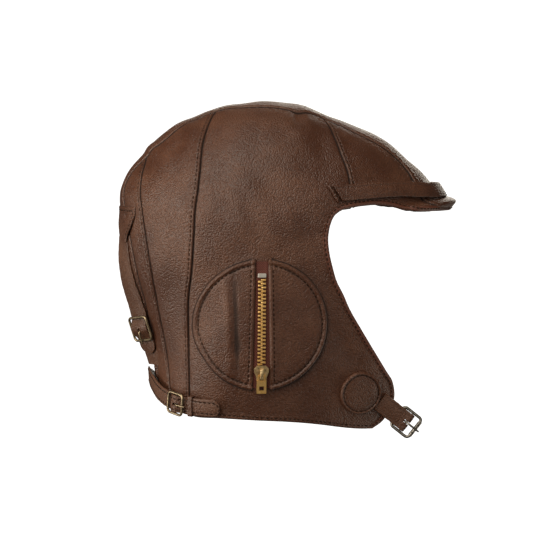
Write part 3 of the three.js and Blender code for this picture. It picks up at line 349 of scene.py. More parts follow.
def smooth(o, angle):
    pick(o)
    bpy.ops.object.shade_smooth_by_angle(angle=math.radians(angle))


def new_grid(name, columns, rows):
    """A flat grid piece, with the place of each corner as u and v from 0 to 1."""
    deselect()
    bpy.ops.mesh.primitive_grid_add(x_subdivisions=columns, y_subdivisions=rows, size=1, location=(0, 0, 0))
    o = bpy.context.object
    o.name = name
    uv = corners_of(o)[:, :2] + 0.5
    return o, uv[:, 0], uv[:, 1]


def finish_piece(o, material, body, nodes, angle):
    """Gives a piece its material, smoothing and body, and hides the nodes that it replaces."""
    o.data.materials.clear()
    o.data.materials.append(material)
    smooth(o, angle)
    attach(o, body)
    if nodes:
        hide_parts(*nodes)
    return o


def face_out(o):
    """Welds corners that meet and turns every face to the outside."""
    start_edit(o)
    bpy.ops.mesh.remove_doubles(threshold=WELD)
    bpy.ops.mesh.normals_make_consistent(inside=False)
    bpy.ops.object.mode_set(mode="OBJECT")


def close_ends(o):
    """Fills the open ends of a bar with a face each."""
    start_edit(o, "DESELECT")
    bpy.ops.mesh.select_mode(type="EDGE")
    unwanted = {"use_wire": False, "use_multi_face": False, "use_non_contiguous": False, "use_verts": False}
    bpy.ops.mesh.select_non_manifold(extend=False, **unwanted)
    bpy.ops.mesh.edge_face_add()
    bpy.ops.object.mode_set(mode="OBJECT")


def set_lift(o, values):
    layer = o.data.attributes.new("lift", "FLOAT", "POINT")
    layer.data.foreach_set("value", np.asarray(values, np.float32))


# %% [markdown]
# ## Bars along a line
# A binding, a strap, a buckle's wire and a prong are all bars. A curve with a bevel could make them,
# but a grid wrapped round a line keeps any section, and lets its width change on the way.


# %% Bars along a line
def sweep(name, rows, section, closed=False, lift=None):
    """A bar along rows of a middle, a direction across and one out; one section, or one for each row."""
    middle, across, out = rows
    section = np.asarray(section, float)
    if section.ndim == 2:
        section = np.broadcast_to(section, (len(middle), *section.shape))
    count, around = len(middle), section.shape[1]
    loop = np.concatenate([section, section[:, :1]], axis=1)
    if closed:
        middle, across, out = (np.vstack([v, v[:1]]) for v in (middle, across, out))
        loop = np.concatenate([loop, loop[:1]])
        count += 1
    o, u, v = new_grid(name, around, count - 1)
    i = np.rint(v * (count - 1)).astype(int)
    j = np.rint(u * around).astype(int)
    a, h = loop[i, j, 0][:, None], loop[i, j, 1][:, None]
    set_corners(o, middle[i] + across[i] * a + out[i] * h)
    if lift is not None:
        set_lift(o, np.append(lift, lift[0])[j])
    face_out(o)
    if not closed:
        close_ends(o)
        face_out(o)
    return o


def round_section(radius, sides):
    a = np.linspace(0, 2 * math.pi, sides, endpoint=False)
    return np.stack([radius * np.cos(a), radius * np.sin(a)], 1)


def round_sections(radii, sides):
    """A round section for each of many radii."""
    return round_section(1.0, sides)[None] * radii[:, None, None]


# distance in from a strap's edge, share of half its thickness
STRAP_EDGE = [(0, 0), (0.15, 0.6), (0.5, 0.82), (1.3, 0.9), (1.9, 0.78), (2.6, 1.0)]


def strap_section(width, thick):
    """A strap's section: rounded edges, a little thinner where the edge is pressed."""
    half, high = width / 2, thick / 2
    top = [(-half + a, high * share) for a, share in STRAP_EDGE]
    full = top + [(-a, h) for a, h in reversed(top)]
    return np.array(full + [(a, -h) for a, h in reversed(full[1:-1])])


def round_loop(points):
    """Direction along a closed loop at each of its points."""
    return unit(np.roll(points, -1, axis=0) - np.roll(points, 1, axis=0))


def rows_along(points, outs):
    """Middle, across, out and along for a line of points and rough outward directions."""
    points, outs = np.asarray(points, float), np.asarray(outs, float)
    ends = points[1:2] - points[0:1], points[-1:] - points[-2:-1]
    along = unit(np.vstack([ends[0], points[2:] - points[:-2], ends[1]]))
    across = unit(np.cross(outs, along))
    return points, across, unit(np.cross(along, across)), along


print("ready to build")

# %% [markdown]
# ## Materials
# A shader is a small graph. Wrapping each socket in a class lets its maths read as plain Python,
# and every pattern runs on Object coordinates, so it stays on the leather when the camera moves.


# %% Shader maths
class Socket:
    """One output of a shader node, with the usual arithmetic."""

    def __init__(self, tree, output):
        self.tree, self.output = tree, output

    def node(self, kind, values, **options):
        n = self.tree.nodes.new(kind)
        for key, value in options.items():
            setattr(n, key, value)
        for key, value in values.items():
            if isinstance(value, Socket):
                self.tree.links.new(value.output, n.inputs[key])
            else:
                n.inputs[key].default_value = value
        return n

    def maths(self, operation, other=0.0):
        n = self.node("ShaderNodeMath", {0: self, 1: other}, operation=operation)
        return Socket(self.tree, n.outputs[0])

    def __add__(self, other):
        return self.maths("ADD", other)

    def __sub__(self, other):
        return self.maths("SUBTRACT", other)

    def __mul__(self, other):
        return self.maths("MULTIPLY", other)

    def absolute(self):
        return self.maths("ABSOLUTE")

    def ramp(self, low, high, to_low=0.0, to_high=1.0):
        values = {"Value": self, "From Min": low, "From Max": high, "To Min": to_low, "To Max": to_high}
        n = self.node("ShaderNodeMapRange", values, interpolation_type="SMOOTHSTEP")
        return Socket(self.tree, n.outputs["Result"])

    def between(self, low, high):
        """A colour between two, by this value."""
        n = self.node("ShaderNodeMix", {}, data_type="RGBA")
        for index, value in ((0, self), (6, low), (7, high)):
            if isinstance(value, Socket):
                self.tree.links.new(value.output, n.inputs[index])
            else:
                n.inputs[index].default_value = value
        return Socket(self.tree, n.outputs[2])


def start_material(name):
    m = bpy.data.materials.new(name)
    m.use_nodes = True
    tree = m.node_tree
    tree.nodes.clear()
    out = tree.nodes.new("ShaderNodeOutputMaterial")
    shader = tree.nodes.new("ShaderNodeBsdfPrincipled")
    tree.links.new(shader.outputs[0], out.inputs[0])
    coords = Socket(tree, tree.nodes.new("ShaderNodeTexCoord").outputs["Object"])
    return m, tree, shader, coords


def noise(coords, scale, detail=3.0, rough=0.5, warp=0.0):
    values = {"Vector": coords, "Scale": scale, "Detail": detail, "Roughness": rough, "Distortion": warp}
    return Socket(coords.tree, coords.node("ShaderNodeTexNoise", values).outputs[0])


def cells(coords, scale, feature="F1"):
    n = coords.node("ShaderNodeTexVoronoi", {"Vector": coords, "Scale": scale}, feature=feature)
    return Socket(coords.tree, n.outputs["Distance"])


def warped(coords, scale, amount):
    """The coordinates, moved a little by a noise."""
    tree, kind = coords.tree, "ShaderNodeVectorMath"
    n = coords.node("ShaderNodeTexNoise", {"Vector": coords, "Scale": scale, "Detail": 2.0})
    sizes = (amount, amount, amount)
    moved = coords.node(kind, {0: Socket(tree, n.outputs[1]), 1: sizes}, operation="MULTIPLY")
    added = coords.node(kind, {0: coords, 1: Socket(tree, moved.outputs[0])}, operation="ADD")
    return Socket(tree, added.outputs[0])


def attribute(tree, name):
    n = tree.nodes.new("ShaderNodeAttribute")
    n.attribute_name = name
    return Socket(tree, n.outputs["Fac"])


def darker(colour, share):
    return tuple(c * share for c in colour[:3]) + (1,)


def wire(tree, shader, values, bump=None, distance=0.0003, strength=0.5):
    """Sets or links the shader's inputs, and its bump from a height."""
    for key, value in values.items():
        if isinstance(value, Socket):
            tree.links.new(value.output, shader.inputs[key])
        else:
            shader.inputs[key].default_value = value
    if bump is not None:
        n = bump.node("ShaderNodeBump", {"Height": bump, "Distance": distance, "Strength": strength})
        tree.links.new(n.outputs[0], shader.inputs["Normal"])


# %% [markdown]
# ## Leather
# Old leather of this kind is pebbled and paler where it is rubbed. Its colour also carries painted shade in
# the grooves of its seams and the hollows of its grain, and soft lighter patches that are partly uneven tone
# and partly painted sheen.
# A picture of leather would need an unwrapped mesh and would repeat, so noise and cells make the grain.
# The attribute 'lift', kept on each corner, tells the shader where the grooves and ridges are.


# %% Leather
def leather_material(name, dark, light, worn, rough=(0.36, 0.5), grain=1.0):
    """Pebbled leather. The attribute 'lift' is above zero on ridges and below it in grooves."""
    grain_and_hollow_shade, groove = darker(dark, 0.42), darker(dark, 0.16)
    m, tree, shader, coords = start_material(name)
    lift = attribute(tree, "lift")
    cloud = noise(coords, 14, 3.0) * 0.65 + noise(coords, 60, 4.0, 0.55) * 0.35
    pebble = cells(warped(coords, 420, 0.0004), 1080, "SMOOTH_F1")
    fine = noise(coords, 2400, 2.0)
    crease = (noise(warped(coords, 30, 0.03), 48, 4.0, 0.55, 0.6) - 0.5).absolute().ramp(0.0, 0.03)
    # soft patches between dark and light: partly the leather's uneven tone, partly painted sheen, since light
    # is a greyer brown like a reflection
    body = cloud.ramp(0.41, 0.6).between(dark, light)
    # the hollows between the pebbles darken: partly the grain's own colour, partly painted shade that sets
    # off the sheen on the pebble tops
    grain_and_hollow_shaded = (pebble.ramp(0.25, 0.62) * (0.5 * grain)).between(body, grain_and_hollow_shade)
    ridged = lift.ramp(0.35, 1.3, 0.0, 0.3).between(grain_and_hollow_shaded, worn)
    # painted shade: where lift is below zero, in seam grooves, pleats and pressed lines, the colour darkens
    # towards the groove colour
    shade_painted_grooves = lift.ramp(-0.7, 0.0, 0.88, 0.0).between(ridged, groove)
    polish = cloud.ramp(0.3, 0.7, rough[0], rough[1])
    roughness = polish + fine * 0.06 + lift.ramp(-0.7, 0.0, 0.45, 0.0)
    height = pebble * (-1.0 * grain) + fine * (0.16 * grain) + crease * 0.07
    wire(tree, shader, {"Base Color": shade_painted_grooves, "Roughness": roughness}, height, 0.0006, 0.95)
    shader.inputs["Specular IOR Level"].default_value = 0.38
    return m


# %% [markdown]
# ## Suede, metal and cloth
# The inside of the leather and the thread are dull, so they reflect very little. Worn brass and nickel
# are cloudy rather than mirror-like, and the zip's tape shows its weave as two crossing waves.


# %% Suede, metal and cloth
def suede_material(name, dark, light):
    m, tree, shader, coords = start_material(name)
    cloud = noise(coords, 40, 6.0, 0.7)
    nap = noise(coords, 1800, 3.0)
    colour, roughness = cloud.ramp(0.35, 0.65).between(dark, light), nap.ramp(0.2, 0.8, 0.78, 0.95)
    wire(tree, shader, {"Base Color": colour, "Roughness": roughness}, nap, 0.0003, 0.5)
    shader.inputs["Specular IOR Level"].default_value = 0.12
    return m


def metal_material(name, colour, dull, rough=(0.22, 0.42)):
    m, tree, shader, coords = start_material(name)
    cloud = noise(coords, 260, 5.0, 0.65)
    scratch = noise(coords, 2400, 3.0)
    base, roughness = cloud.ramp(0.35, 0.7).between(colour, dull), cloud.ramp(0.3, 0.7, rough[0], rough[1])
    wire(tree, shader, {"Base Color": base, "Roughness": roughness}, scratch, 0.0001, 0.25)
    shader.inputs["Metallic"].default_value = 1.0
    return m


def cloth_material(name, dark, light):
    m, tree, shader, coords = start_material(name)

    def ribs(scale, distortion, bands):
        values = {"Vector": coords, "Scale": scale, "Distortion": distortion}
        return Socket(tree, coords.node("ShaderNodeTexWave", values, bands_direction=bands).outputs[1])

    thread = ribs(420.0, 0.6, "DIAGONAL") * 0.6 + ribs(300.0, 0.3, "Z") * 0.4
    colour, roughness = thread.ramp(0.1, 0.9).between(dark, light), thread.ramp(0.0, 1.0, 0.9, 0.75)
    wire(tree, shader, {"Base Color": colour, "Roughness": roughness}, thread, 0.0002, 0.6)
    return m


# %% The materials
# colours are red, green, blue and alpha: dark, light and worn, or bright and dull
# in each leather the light colour is partly painted sheen, and its grooves and grain hollows carry painted
# shade
LEATHER = leather_material(
    "brown_leather", (0.05, 0.0152, 0.0056, 1), (0.078, 0.0285, 0.0128, 1), (0.11, 0.046, 0.024, 1),
    (0.36, 0.47))
STRAP = leather_material(
    "strap_leather", (0.058, 0.022, 0.0105, 1), (0.082, 0.034, 0.0175, 1), (0.13, 0.064, 0.038, 1),
    (0.38, 0.5), 0.8)
EDGING = leather_material(
    "edge_leather", (0.065, 0.018, 0.0085, 1), (0.09, 0.027, 0.0135, 1), (0.12, 0.043, 0.024, 1),
    (0.4, 0.52), 0.6)
INSIDE = suede_material("inside_leather", (0.035, 0.017, 0.011, 1), (0.075, 0.041, 0.027, 1))
THREAD = suede_material("stitch_thread", (0.012, 0.0055, 0.003, 1), (0.026, 0.012, 0.007, 1))
TAPE = cloth_material("zip_cloth", (0.045, 0.0085, 0.0045, 1), (0.1, 0.022, 0.012, 1))
BRASS = metal_material("brass", (1.0, 0.66, 0.25, 1), (0.62, 0.35, 0.11, 1), (0.36, 0.52))
NICKEL = metal_material("nickel", (0.8, 0.77, 0.72, 1), (0.5, 0.46, 0.41, 1), (0.36, 0.5))
STEEL = metal_material("warm_nickel", (0.85, 0.63, 0.34, 1), (0.24, 0.17, 0.09, 1), (0.34, 0.5))
OLD_BRASS = metal_material("antique_brass", (0.24, 0.19, 0.125, 1), (0.12, 0.09, 0.058, 1), (0.36, 0.54))
GUNMETAL = metal_material("gunmetal", (0.19, 0.175, 0.155, 1), (0.085, 0.078, 0.068, 1), (0.3, 0.5))
print("materials:", len(bpy.data.materials))

# %% [markdown]
# ## The leather panels
# The shell of the real helmet is cut from flat leather and sewn in panels. A cloth simulation could drape
# them, but placing each corner on the shell gives the same form every time, and fits the solids.
# Each panel lies between four seams. Its corners are packed close beside the seams, where the leather
# rolls under or makes a raised fold, and wide apart in the middle.

# %% Seam profiles
# Each row is the distance from the seam and the height there. A height below zero also darkens the leather's
# colour there, as painted shade in the groove.
FOLDED = [
    (0, -1.3), (0.3, -0.7), (0.7, 0.25), (1.2, 0.45), (1.7, 0.3), (2.3, -0.1), (2.9, 0.16), (3.6, 0.26),
    (4.8, 0.1), (6.5, 0),
]
UNDER = [(0, -1.2), (0.4, -0.8), (0.9, -0.3), (1.7, -0.06), (3.2, 0)]
HEMMED = [(0, -0.5), (0.5, 0.05), (1.3, 0.4), (3.6, 0.42), (4.2, 0.12), (4.8, 0.36), (6.2, 0.15), (8.0, 0)]
DEEP = [(0, -1.3), (1.1, -1.05), (2.0, -0.4), (3.0, -0.06), (4.5, 0)]
FLAT = [(0, 0), (1, 0)]
PROFILE = {"fold": FOLDED, "under": UNDER, "deep": DEEP, "hem": HEMMED, "flat": FLAT}
STITCH_IN = {"fold": 2.3, "hem": 4.2}
WAVE_COUNT, WAVE_SHORT, WAVE_LONG = 16, 16, 60
# TUCK is below zero, so that neighbouring panels overlap a hair and no light comes through a seam.
TUCK = -0.06
# a seam's puckers: height, distance from the seam, turns a mm and how fast their spacing drifts
PUCKER, PUCKER_AT, PUCKER_RATE, DRIFT_RATE = 0.14, 4, 1.35, 0.21
SWELL, SWELL_UP, SWELL_FROM = 0.22, 0.25, 9
FAR_IN = 99.0
rng = np.random.default_rng(7)
WAVES = [
    (unit(rng.normal(size=3)), 2 * math.pi / rng.uniform(WAVE_SHORT, WAVE_LONG), rng.uniform(0, 6.3))
    for _ in range(WAVE_COUNT)
]
stitch_lines = []
print("seam profiles:", ", ".join(PROFILE))


# %% Sheets of leather
def softly(p):
    """Slow unevenness of hand-cut leather, about one either way."""
    return sum(np.sin(p @ d * k + phase) for d, k, phase in WAVES) / 4


def shares(length, zone=7.5, fine=0.5, coarse=2.6):
    """Shares from 0 to 1 that crowd near both ends."""
    edge = np.arange(0, zone, fine) / length
    count = max(int((length - 2 * zone) / coarse), 2)
    return np.concatenate([edge, np.linspace(zone / length, 1 - zone / length, count), 1 - edge[::-1]])


def between_seams(a, b, top, bottom):
    """Point of the shell at shares s across and t down, and the lengths across and down there."""
    ends = [line.at(k) for line in (a, b) for k in (0, 1)]

    def place(s, t):
        pa, pb, pt, pm = a.at(t), b.at(t), top.at(s), bottom.at(s)
        s1, t1 = s[:, None], t[:, None]
        corners = (ends[0] * (1 - s1) + ends[2] * s1) * (1 - t1) + (ends[1] * (1 - s1) + ends[3] * s1) * t1
        p = onto_shell(pa * (1 - s1) + pb * s1 + pt * (1 - t1) + pm * t1 - corners)
        return p, np.linalg.norm(pa - pb, axis=1), np.linalg.norm(pt - pm, axis=1)

    return place


def dressed(place, edges, s, t):
    """A panel's outer face: the shell, with what its edges and the leather's own unevenness add."""
    _, wide, tall = place(s, t)
    tuck_s, tuck_t = TUCK / np.maximum(wide, 0.5), TUCK / np.maximum(tall, 0.5)
    s = tuck_s + s * (1 - 2 * tuck_s)
    t = tuck_t + t * (1 - 2 * tuck_t)
    p, wide, tall = place(s, t)
    n = outward(p)
    reaches = {
        "a": (s * wide, t * tall), "b": ((1 - s) * wide, t * tall),
        "top": (t * tall, s * wide), "bottom": ((1 - t) * tall, s * wide),
    }
    height, near = np.zeros(len(p)), np.full(len(p), FAR_IN)
    for edge, kind in edges.items():
        d, along = reaches[edge]
        value = table(PROFILE[kind], d)
        height = np.where(value < 0, np.minimum(height, value), height + value)
        if kind != "flat":
            waves = np.sin(along * PUCKER_RATE + 1.5 * np.sin(along * DRIFT_RATE))
            height = height + PUCKER * np.exp(-((d - PUCKER_AT) / PUCKER_AT) ** 2) * waves
        near = np.minimum(near, d)
    swell = (SWELL * softly(p) + SWELL_UP) * np.clip(near / SWELL_FROM, 0, 1)
    return p + n * (height + swell)[:, None], n, height


def keep_stitches(place, edges, edge, count=260):
    """Keeps the line of stitches beside one edge of a panel."""
    along = np.linspace(0.012, 0.988, count)
    zero = np.zeros(count)
    d = STITCH_IN[edges[edge]]

    def beside(share):
        far = 1 - share if edge in ("b", "bottom") else share
        return (far, along) if edge in "ab" else (along, far)

    _, wide, tall = place(*beside(zero))
    size = wide if edge in "ab" else tall
    share = np.clip(d / np.maximum(size, d * 2.2), 0, 0.45)
    p, n, _ = dressed(place, edges, *beside(share))
    stitch_lines.append((p, n))


def thicken(o, thick):
    """Gives a sheet its thickness inwards; the inner face takes the second material."""
    apply_modifier(o, "SOLIDIFY", thickness=thick / 1000, offset=-1, use_even_offset=False, material_offset=1)


def grid_from(name, us, vs):
    """A grid piece with its corners at the given shares."""
    o, u, v = new_grid(name, len(us) - 1, len(vs) - 1)
    i, j = np.rint(u * (len(us) - 1)).astype(int), np.rint(v * (len(vs) - 1)).astype(int)
    return o, us[i], vs[j]


def outer_first(o, normals):
    """Turns the faces of a sheet to the outside."""
    me = o.data
    face = me.polygons[len(me.polygons) // 2]
    if face.normal.dot(Vector(normals[face.vertices[0]])) < 0:
        start_edit(o)
        bpy.ops.mesh.flip_normals()
        bpy.ops.object.mode_set(mode="OBJECT")


def finish_sheet(o, face, thick, nodes):
    """Makes a sheet from its outer face: points, outward directions and lift."""
    points, normals, lift = face
    set_corners(o, points)
    set_lift(o, lift)
    outer_first(o, normals)
    o.data.materials.append(LEATHER)
    o.data.materials.append(INSIDE)
    thicken(o, thick)
    smooth(o, SHEET_ANGLE)
    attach(o, "helmet")
    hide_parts(*nodes)
    return o


def sheet_piece(name, us, vs, place, edges, nodes):
    """A panel of the shell, with the lines where it is sewn."""
    o, s, t = grid_from(name, us, vs)
    finish_sheet(o, dressed(place, edges, s, t), WALL, nodes)
    for edge, kind in edges.items():
        if kind in STITCH_IN:
            keep_stitches(place, edges, edge)
    return o


# %% Side, front, rear and back panels
def cut_round(o, x, z, radius, side):
    """Cuts a round hole through one side."""
    deselect()
    place = (x / 1000, side * (HALF + 5) / 1000, z / 1000)
    bpy.ops.mesh.primitive_cylinder_add(
        vertices=96, radius=radius / 1000, depth=0.06, location=place, rotation=(math.pi / 2, 0, 0))
    cut(o, bpy.context.object)


EAR_HOLE = 33
EAR_X, EAR_Z = (float(v) for v in side_point(-0.012, -0.45))
for side, word in SIDES.items():
    corner = band_point(FRONT_ANGLE, side)[0]
    front_line = side_line(FRONT_SEAM, side, corner)
    side_seam = side_line(SIDE_SEAM, side, band_point(SIDE_ANGLE, side)[0])
    rear_seam = side_line(REAR_SEAM, side, band_point(REAR_ANGLE, side)[0])

    brow_line = Line([band_point(BROW_ANGLE, side)[0]] + [on_side(row, side) for row in BROW_EDGE])
    band_edge = band_seam(FRONT_ANGLE, BROW_ANGLE, side)
    place = between_seams(band_edge, front_line, Line([corner, front_line.at(0.02)[0]]), brow_line)
    edges = {"a": "deep", "b": "fold", "bottom": "flat"}
    down = shares(75, zone=3, fine=1.5, coarse=2)
    sheet_piece(f"front_leather_{word}", shares(48), down, place, edges, [f"front_panel_{word}"])

    front_edge = Line([corner] + [on_side(row, side) for row in FRONT_SEAM[:-1] + FACE_EDGE])
    band_edge = band_seam(FRONT_ANGLE, SIDE_ANGLE, side)
    place = between_seams(front_edge, side_seam, band_edge, side_line(HEM, side))
    edges = {"a": "under", "b": "under", "top": "deep", "bottom": "hem"}
    down = shares(240, zone=8, fine=0.7)
    o = sheet_piece(f"side_leather_{word}", shares(120), down, place, edges, [f"side_panel_{word}"])
    cut_round(o, EAR_X, EAR_Z, EAR_HOLE, side)

    band_edge = band_seam(SIDE_ANGLE, REAR_ANGLE, side)
    place = between_seams(side_seam, rear_seam, band_edge, side_line([HEM[-1], BACK_HEM[0]], side))
    edges = {"a": "fold", "b": "under", "top": "deep", "bottom": "hem"}
    down = shares(215, zone=8, fine=0.7)
    sheet_piece(f"rear_leather_{word}", shares(48), down, place, edges, [f"rear_panel_{word}"])

    nape = Line([on_side(row, side) for row in BACK_HEM[:2]] + [band_point(NAPE_ANGLE, side)[0]])
    band_edge = band_seam(REAR_ANGLE, NAPE_ANGLE, side)
    place = between_seams(rear_seam, band_edge, Line(band_point([REAR_ANGLE, REAR_ANGLE + 0.5], side)), nape)
    edges = {"a": "fold", "b": "deep", "bottom": "hem"}
    down = shares(170, zone=8, fine=0.7)
    sheet_piece(f"back_leather_{word}", shares(30, zone=6), down, place, edges, [f"back_panel_{word}"])
print("lines of stitches:", len(stitch_lines))


# %% [markdown]
# ## The crown band
# One strip runs over the middle of the head, from the lip over the brow to the nape, and its folded edges
# stand over the panels. It is measured by the angle round the ear axis, since it follows the outline.

# %% Crown band
BAND_LONG = 430.0


def band_place(s, t):
    """As between_seams, for the band that runs over the crown from brow to nape."""
    u = 2 * s - 1
    first = angle_at_rise(BROW_UP * RISE + 1, np.abs(u))
    angle = first + t * (NAPE_ANGLE - first)
    half = BAND * table(BAND_WIDTH, angle)
    return band_point(angle, np.where(u < 0, -1, 1), np.abs(u)), 2 * half, np.full(len(s), BAND_LONG)


down = shares(BAND_LONG, zone=8, fine=0.8, coarse=2.4)
edges = {"a": "fold", "b": "fold", "bottom": "hem"}
sheet_piece("crown_leather", shares(52), down, band_place, edges, ["crown_band"])

# %% [markdown]
# ## The binding of the face opening
# A narrow strip of leather is folded over the raw edge and sewn through. It is one rounded bar here, swept
# from chin to chin. Its section is given point by point, because a plain bevel would look like a cord.

# %% Face binding
BINDING_WIDE, BINDING_THICK, BINDING_STEPS = 3.4, 2.8, 420
SEWN_ACROSS, SEWN_UP = 0.82, 0.46
# share of the width in from the edge, share of the thickness up from the middle of the wall
BINDING_SHAPE = [
    (0.35, 0.55), (0.12, 0.42), (0, 0.15), (0, -0.15), (0.12, -0.42), (0.35, -0.55), (0.7, -0.54),
    (1.0, -0.5), (1.04, -0.3), (1.04, 0.3), (1.0, 0.5), (0.82, 0.42), (0.7, 0.53),
]


def binding_rows(count):
    """Middle, inward and outward directions along the edge of the face opening, from chin to chin."""
    def half(side):
        return [on_side(row, side) for row in FACE_EDGE[:0:-1] + BROW_EDGE[:0:-1]]

    def brow(share, side):
        return band_point(angle_at_rise(BROW_UP * RISE, share), side, share)[0]

    middle = [brow(1, RIGHT), brow(0.5, RIGHT), brow(0, LEFT), brow(0.5, LEFT), brow(1, LEFT)]
    edge = Line(half(RIGHT) + middle + half(LEFT)[::-1])
    p = edge.at(np.linspace(0, 1, count))
    n = outward(p)
    along = unit(np.gradient(p, axis=0))
    return p - n * WALL / 2, unit(np.cross(n, along)), n


def ripple_of(size, last):
    return size * np.sin(np.linspace(0, last, BINDING_STEPS))


middle, inward, n = binding_rows(BINDING_STEPS)
ripple = 1 + ripple_of(0.04, 150) + ripple_of(0.03, 61)
shape = np.array(BINDING_SHAPE)[None] * np.array([BINDING_WIDE, BINDING_THICK]) * ripple[:, None, None]
binding = sweep("face_edging", (middle, inward, n), shape)
finish_piece(binding, EDGING, "helmet", ["face_binding"], SHEET_ANGLE)
stitch_lines.append((middle + inward * BINDING_WIDE * SEWN_ACROSS + n * (BINDING_THICK * SEWN_UP), n))
print("binding", round(float(np.linalg.norm(np.diff(middle, axis=0), axis=1).sum())), "mm long")

# %% [markdown]
# ## The ear patches
# A round patch covers each ear and is split by a zip. Its two halves are thin sheets over a round hole in
# the shell, with a turned rim, a line of stitches in a groove and soft pleats beside the zip.
# The rim is a table of heights, so that the same rows serve the circle and the straight edge.

# %% Ear patches
PATCH_R, PATCH_THICK, TAPE_THICK, TAPE_HALF, ZIP_HALF = 46.0, 1.5, 0.7, 9.0, 5.0
PATCH_UNDER, PATCH_SHEET = GAP + TAPE_THICK + GAP + 0.3, PATCH_THICK * 0.85
STITCH_RING, STITCH_REACH = PATCH_R - 4.3, 39.5
# heights below zero in RIM, ZIP_EDGE and PLEATS also paint shade into the leather's colour through the lift
# distance in from the edge, height there
RIM = [
    (0, -0.8), (0.7, -0.6), (1.2, 0.1), (1.9, 0.42), (2.9, 0.3), (3.6, -0.25), (4.5, -0.4), (5.5, 0.0),
    (8, 0.12), (14, 0),
]
ZIP_EDGE = [(0, -0.5), (0.4, 0.1), (1.2, 0.5), (2.2, 0.45), (3.0, 0.08), (3.8, 0.2), (6, 0.05), (9, 0)]
# place across the patch, half width, height
PLEATS = [(-22.5, 3.2, 0.9), (-17.5, 2.2, -0.7), (7.5, 3.4, 0.45)]


def zip_half(z):
    """Half the zip's opening, a little wider at the bottom."""
    return ZIP_HALF + 0.1 - 0.02 * z


PLEAT_REACH, PLEAT_LEAN, PATCH_SOFT, GATHERS, GATHER_DEEP = 34, 0.04, 0.12, 60, 0.1
PATCH_TIP = math.acos((ZIP_HALF + 1.5) / PATCH_R)


def patch_face(side, ahead):
    """The outer face of one half of an ear patch, from the zip to the rim and from bottom to top."""
    def face(u, v):
        angle = PATCH_TIP * (2 * v - 1)
        rim = PATCH_R * np.cos(angle)
        z = PATCH_R * np.sin(angle)
        x = ahead * (zip_half(z) + (rim - zip_half(z)) * u)
        p = at_place(EAR_X + x, EAR_Z + z, side)
        n = outward(p)
        inside = PATCH_R - np.hypot(x, z)
        height = table(RIM, inside) + table(ZIP_EDGE, np.abs(x) - zip_half(z))
        fade = np.exp(-(z / PLEAT_REACH) ** 4)
        for centre, wide, deep in PLEATS:
            height = height + deep * fade * np.exp(-(((x - centre) + PLEAT_LEAN * z) / wide) ** 2)
        gathers = GATHER_DEEP * np.sin(np.arctan2(z, x) * GATHERS) * np.exp(-((inside - 4) / 2.5) ** 2)
        height = height + PATCH_SOFT * softly(p * 1.6) + gathers
        return p + n * (PATCH_UNDER + PATCH_SHEET + height)[:, None], n, height

    return face


for side, word in SIDES.items():
    for ahead, where in ((1, "front"), (-1, "back")):
        face = patch_face(side, ahead)
        by_zip, by_rim = np.linspace(0, 0.16, 14), np.linspace(0.78, 1, 22)
        us = np.concatenate([by_zip[:-1], np.linspace(0.16, 0.78, 22)[:-1], by_rim])
        o, u, v = grid_from(f"ear_leather_{where}_{word}", us, np.linspace(0, 1, 110))
        finish_sheet(o, face(u, v), PATCH_SHEET, [f"ear_patch_{where}_{word}"])
        # stitches inside the turned rim, then beside the zip
        angle = np.linspace(-1, 1, 200) * math.acos((ZIP_HALF + 4) / STITCH_RING)
        ring_x, ring_z = STITCH_RING * np.cos(angle), STITCH_RING * np.sin(angle)
        beside = np.linspace(-STITCH_REACH, STITCH_REACH, 160)
        for xs, zs in ((ring_x, ring_z), (zip_half(beside) + 3.0, beside)):
            v_at = (np.arcsin(zs / PATCH_R) / PATCH_TIP + 1) / 2
            rim = np.sqrt(PATCH_R**2 - zs**2)
            p, n, _ = face((xs - zip_half(zs)) / (rim - zip_half(zs)), v_at)
            stitch_lines.append((p, n))
print("ear patches done")

# %% [markdown]
# ## The zips
# A metal zip is a woven tape with a cord along its edge, and teeth clamped on that cord by turns from both
# sides. One rounded tooth is copied into a single mesh, which is lighter than many objects.

# %% Zip tape and teeth
TEETH_UNDER = GAP + TAPE_THICK + GAP
ZIP_TOP, ZIP_BOTTOM = PATCH_R - 14, -PATCH_R + 18.5
TOOTH_PAIRS, TOOTH_WIDE, TOOTH_HIGH = 23, 5.4, 1.9
TOOTH_ACROSS, TOOTH_ALONG, TOOTH_ROUND, TOOTH_TAPER = 0.62, 0.54, 0.22, 0.72


def zip_frame(side, up):
    """Middle, across, down and out along the zip, at heights over the middle of the patch."""
    up = np.atleast_1d(np.asarray(up, float))
    p = at_place(np.full(len(up), EAR_X), EAR_Z + up, side)
    n = outward(p)
    down = unit(at_place(np.full(len(up), EAR_X), EAR_Z + up - 1, side) - p)
    across = unit(np.cross(down, n))
    across = across * np.where(across[:, :1] < 0, -1, 1)
    return p, across, down, n


def copies(name, source, frames):
    """One mesh of many copies of a source piece, each in its own frame of middle, across, down and out."""
    base = corners_of(source) * 1000
    polys = [list(p.vertices) for p in source.data.polygons]
    points, faces = [], []
    for k, (m, a, d, n) in enumerate(frames):
        points.append(m + base[:, :1] * a + base[:, 1:2] * d + base[:, 2:3] * n)
        flip = np.dot(np.cross(a, d), n) < 0
        faces += [[i + k * len(base) for i in (reversed(f) if flip else f)] for f in polys]
    me = bpy.data.meshes.new(name)
    me.from_pydata((np.concatenate(points) / 1000).tolist(), [], faces)
    me.update()
    o = bpy.data.objects.new(name, me)
    bpy.context.scene.collection.objects.link(o)
    bpy.data.objects.remove(source)
    return o


def rounded_box(size_mm, bevel, taper=1.0):
    """A box with rounded edges, narrower where x is below zero."""
    deselect()
    bpy.ops.mesh.primitive_cube_add(size=1, location=(0, 0, 0))
    o = bpy.context.object
    co = corners_of(o)
    co[:, 1] *= np.where(co[:, 0] > 0, 1, taper)
    set_corners(o, co * np.array(size_mm))
    apply_modifier(o, "BEVEL", width=bevel / 1000, segments=2)
    return o


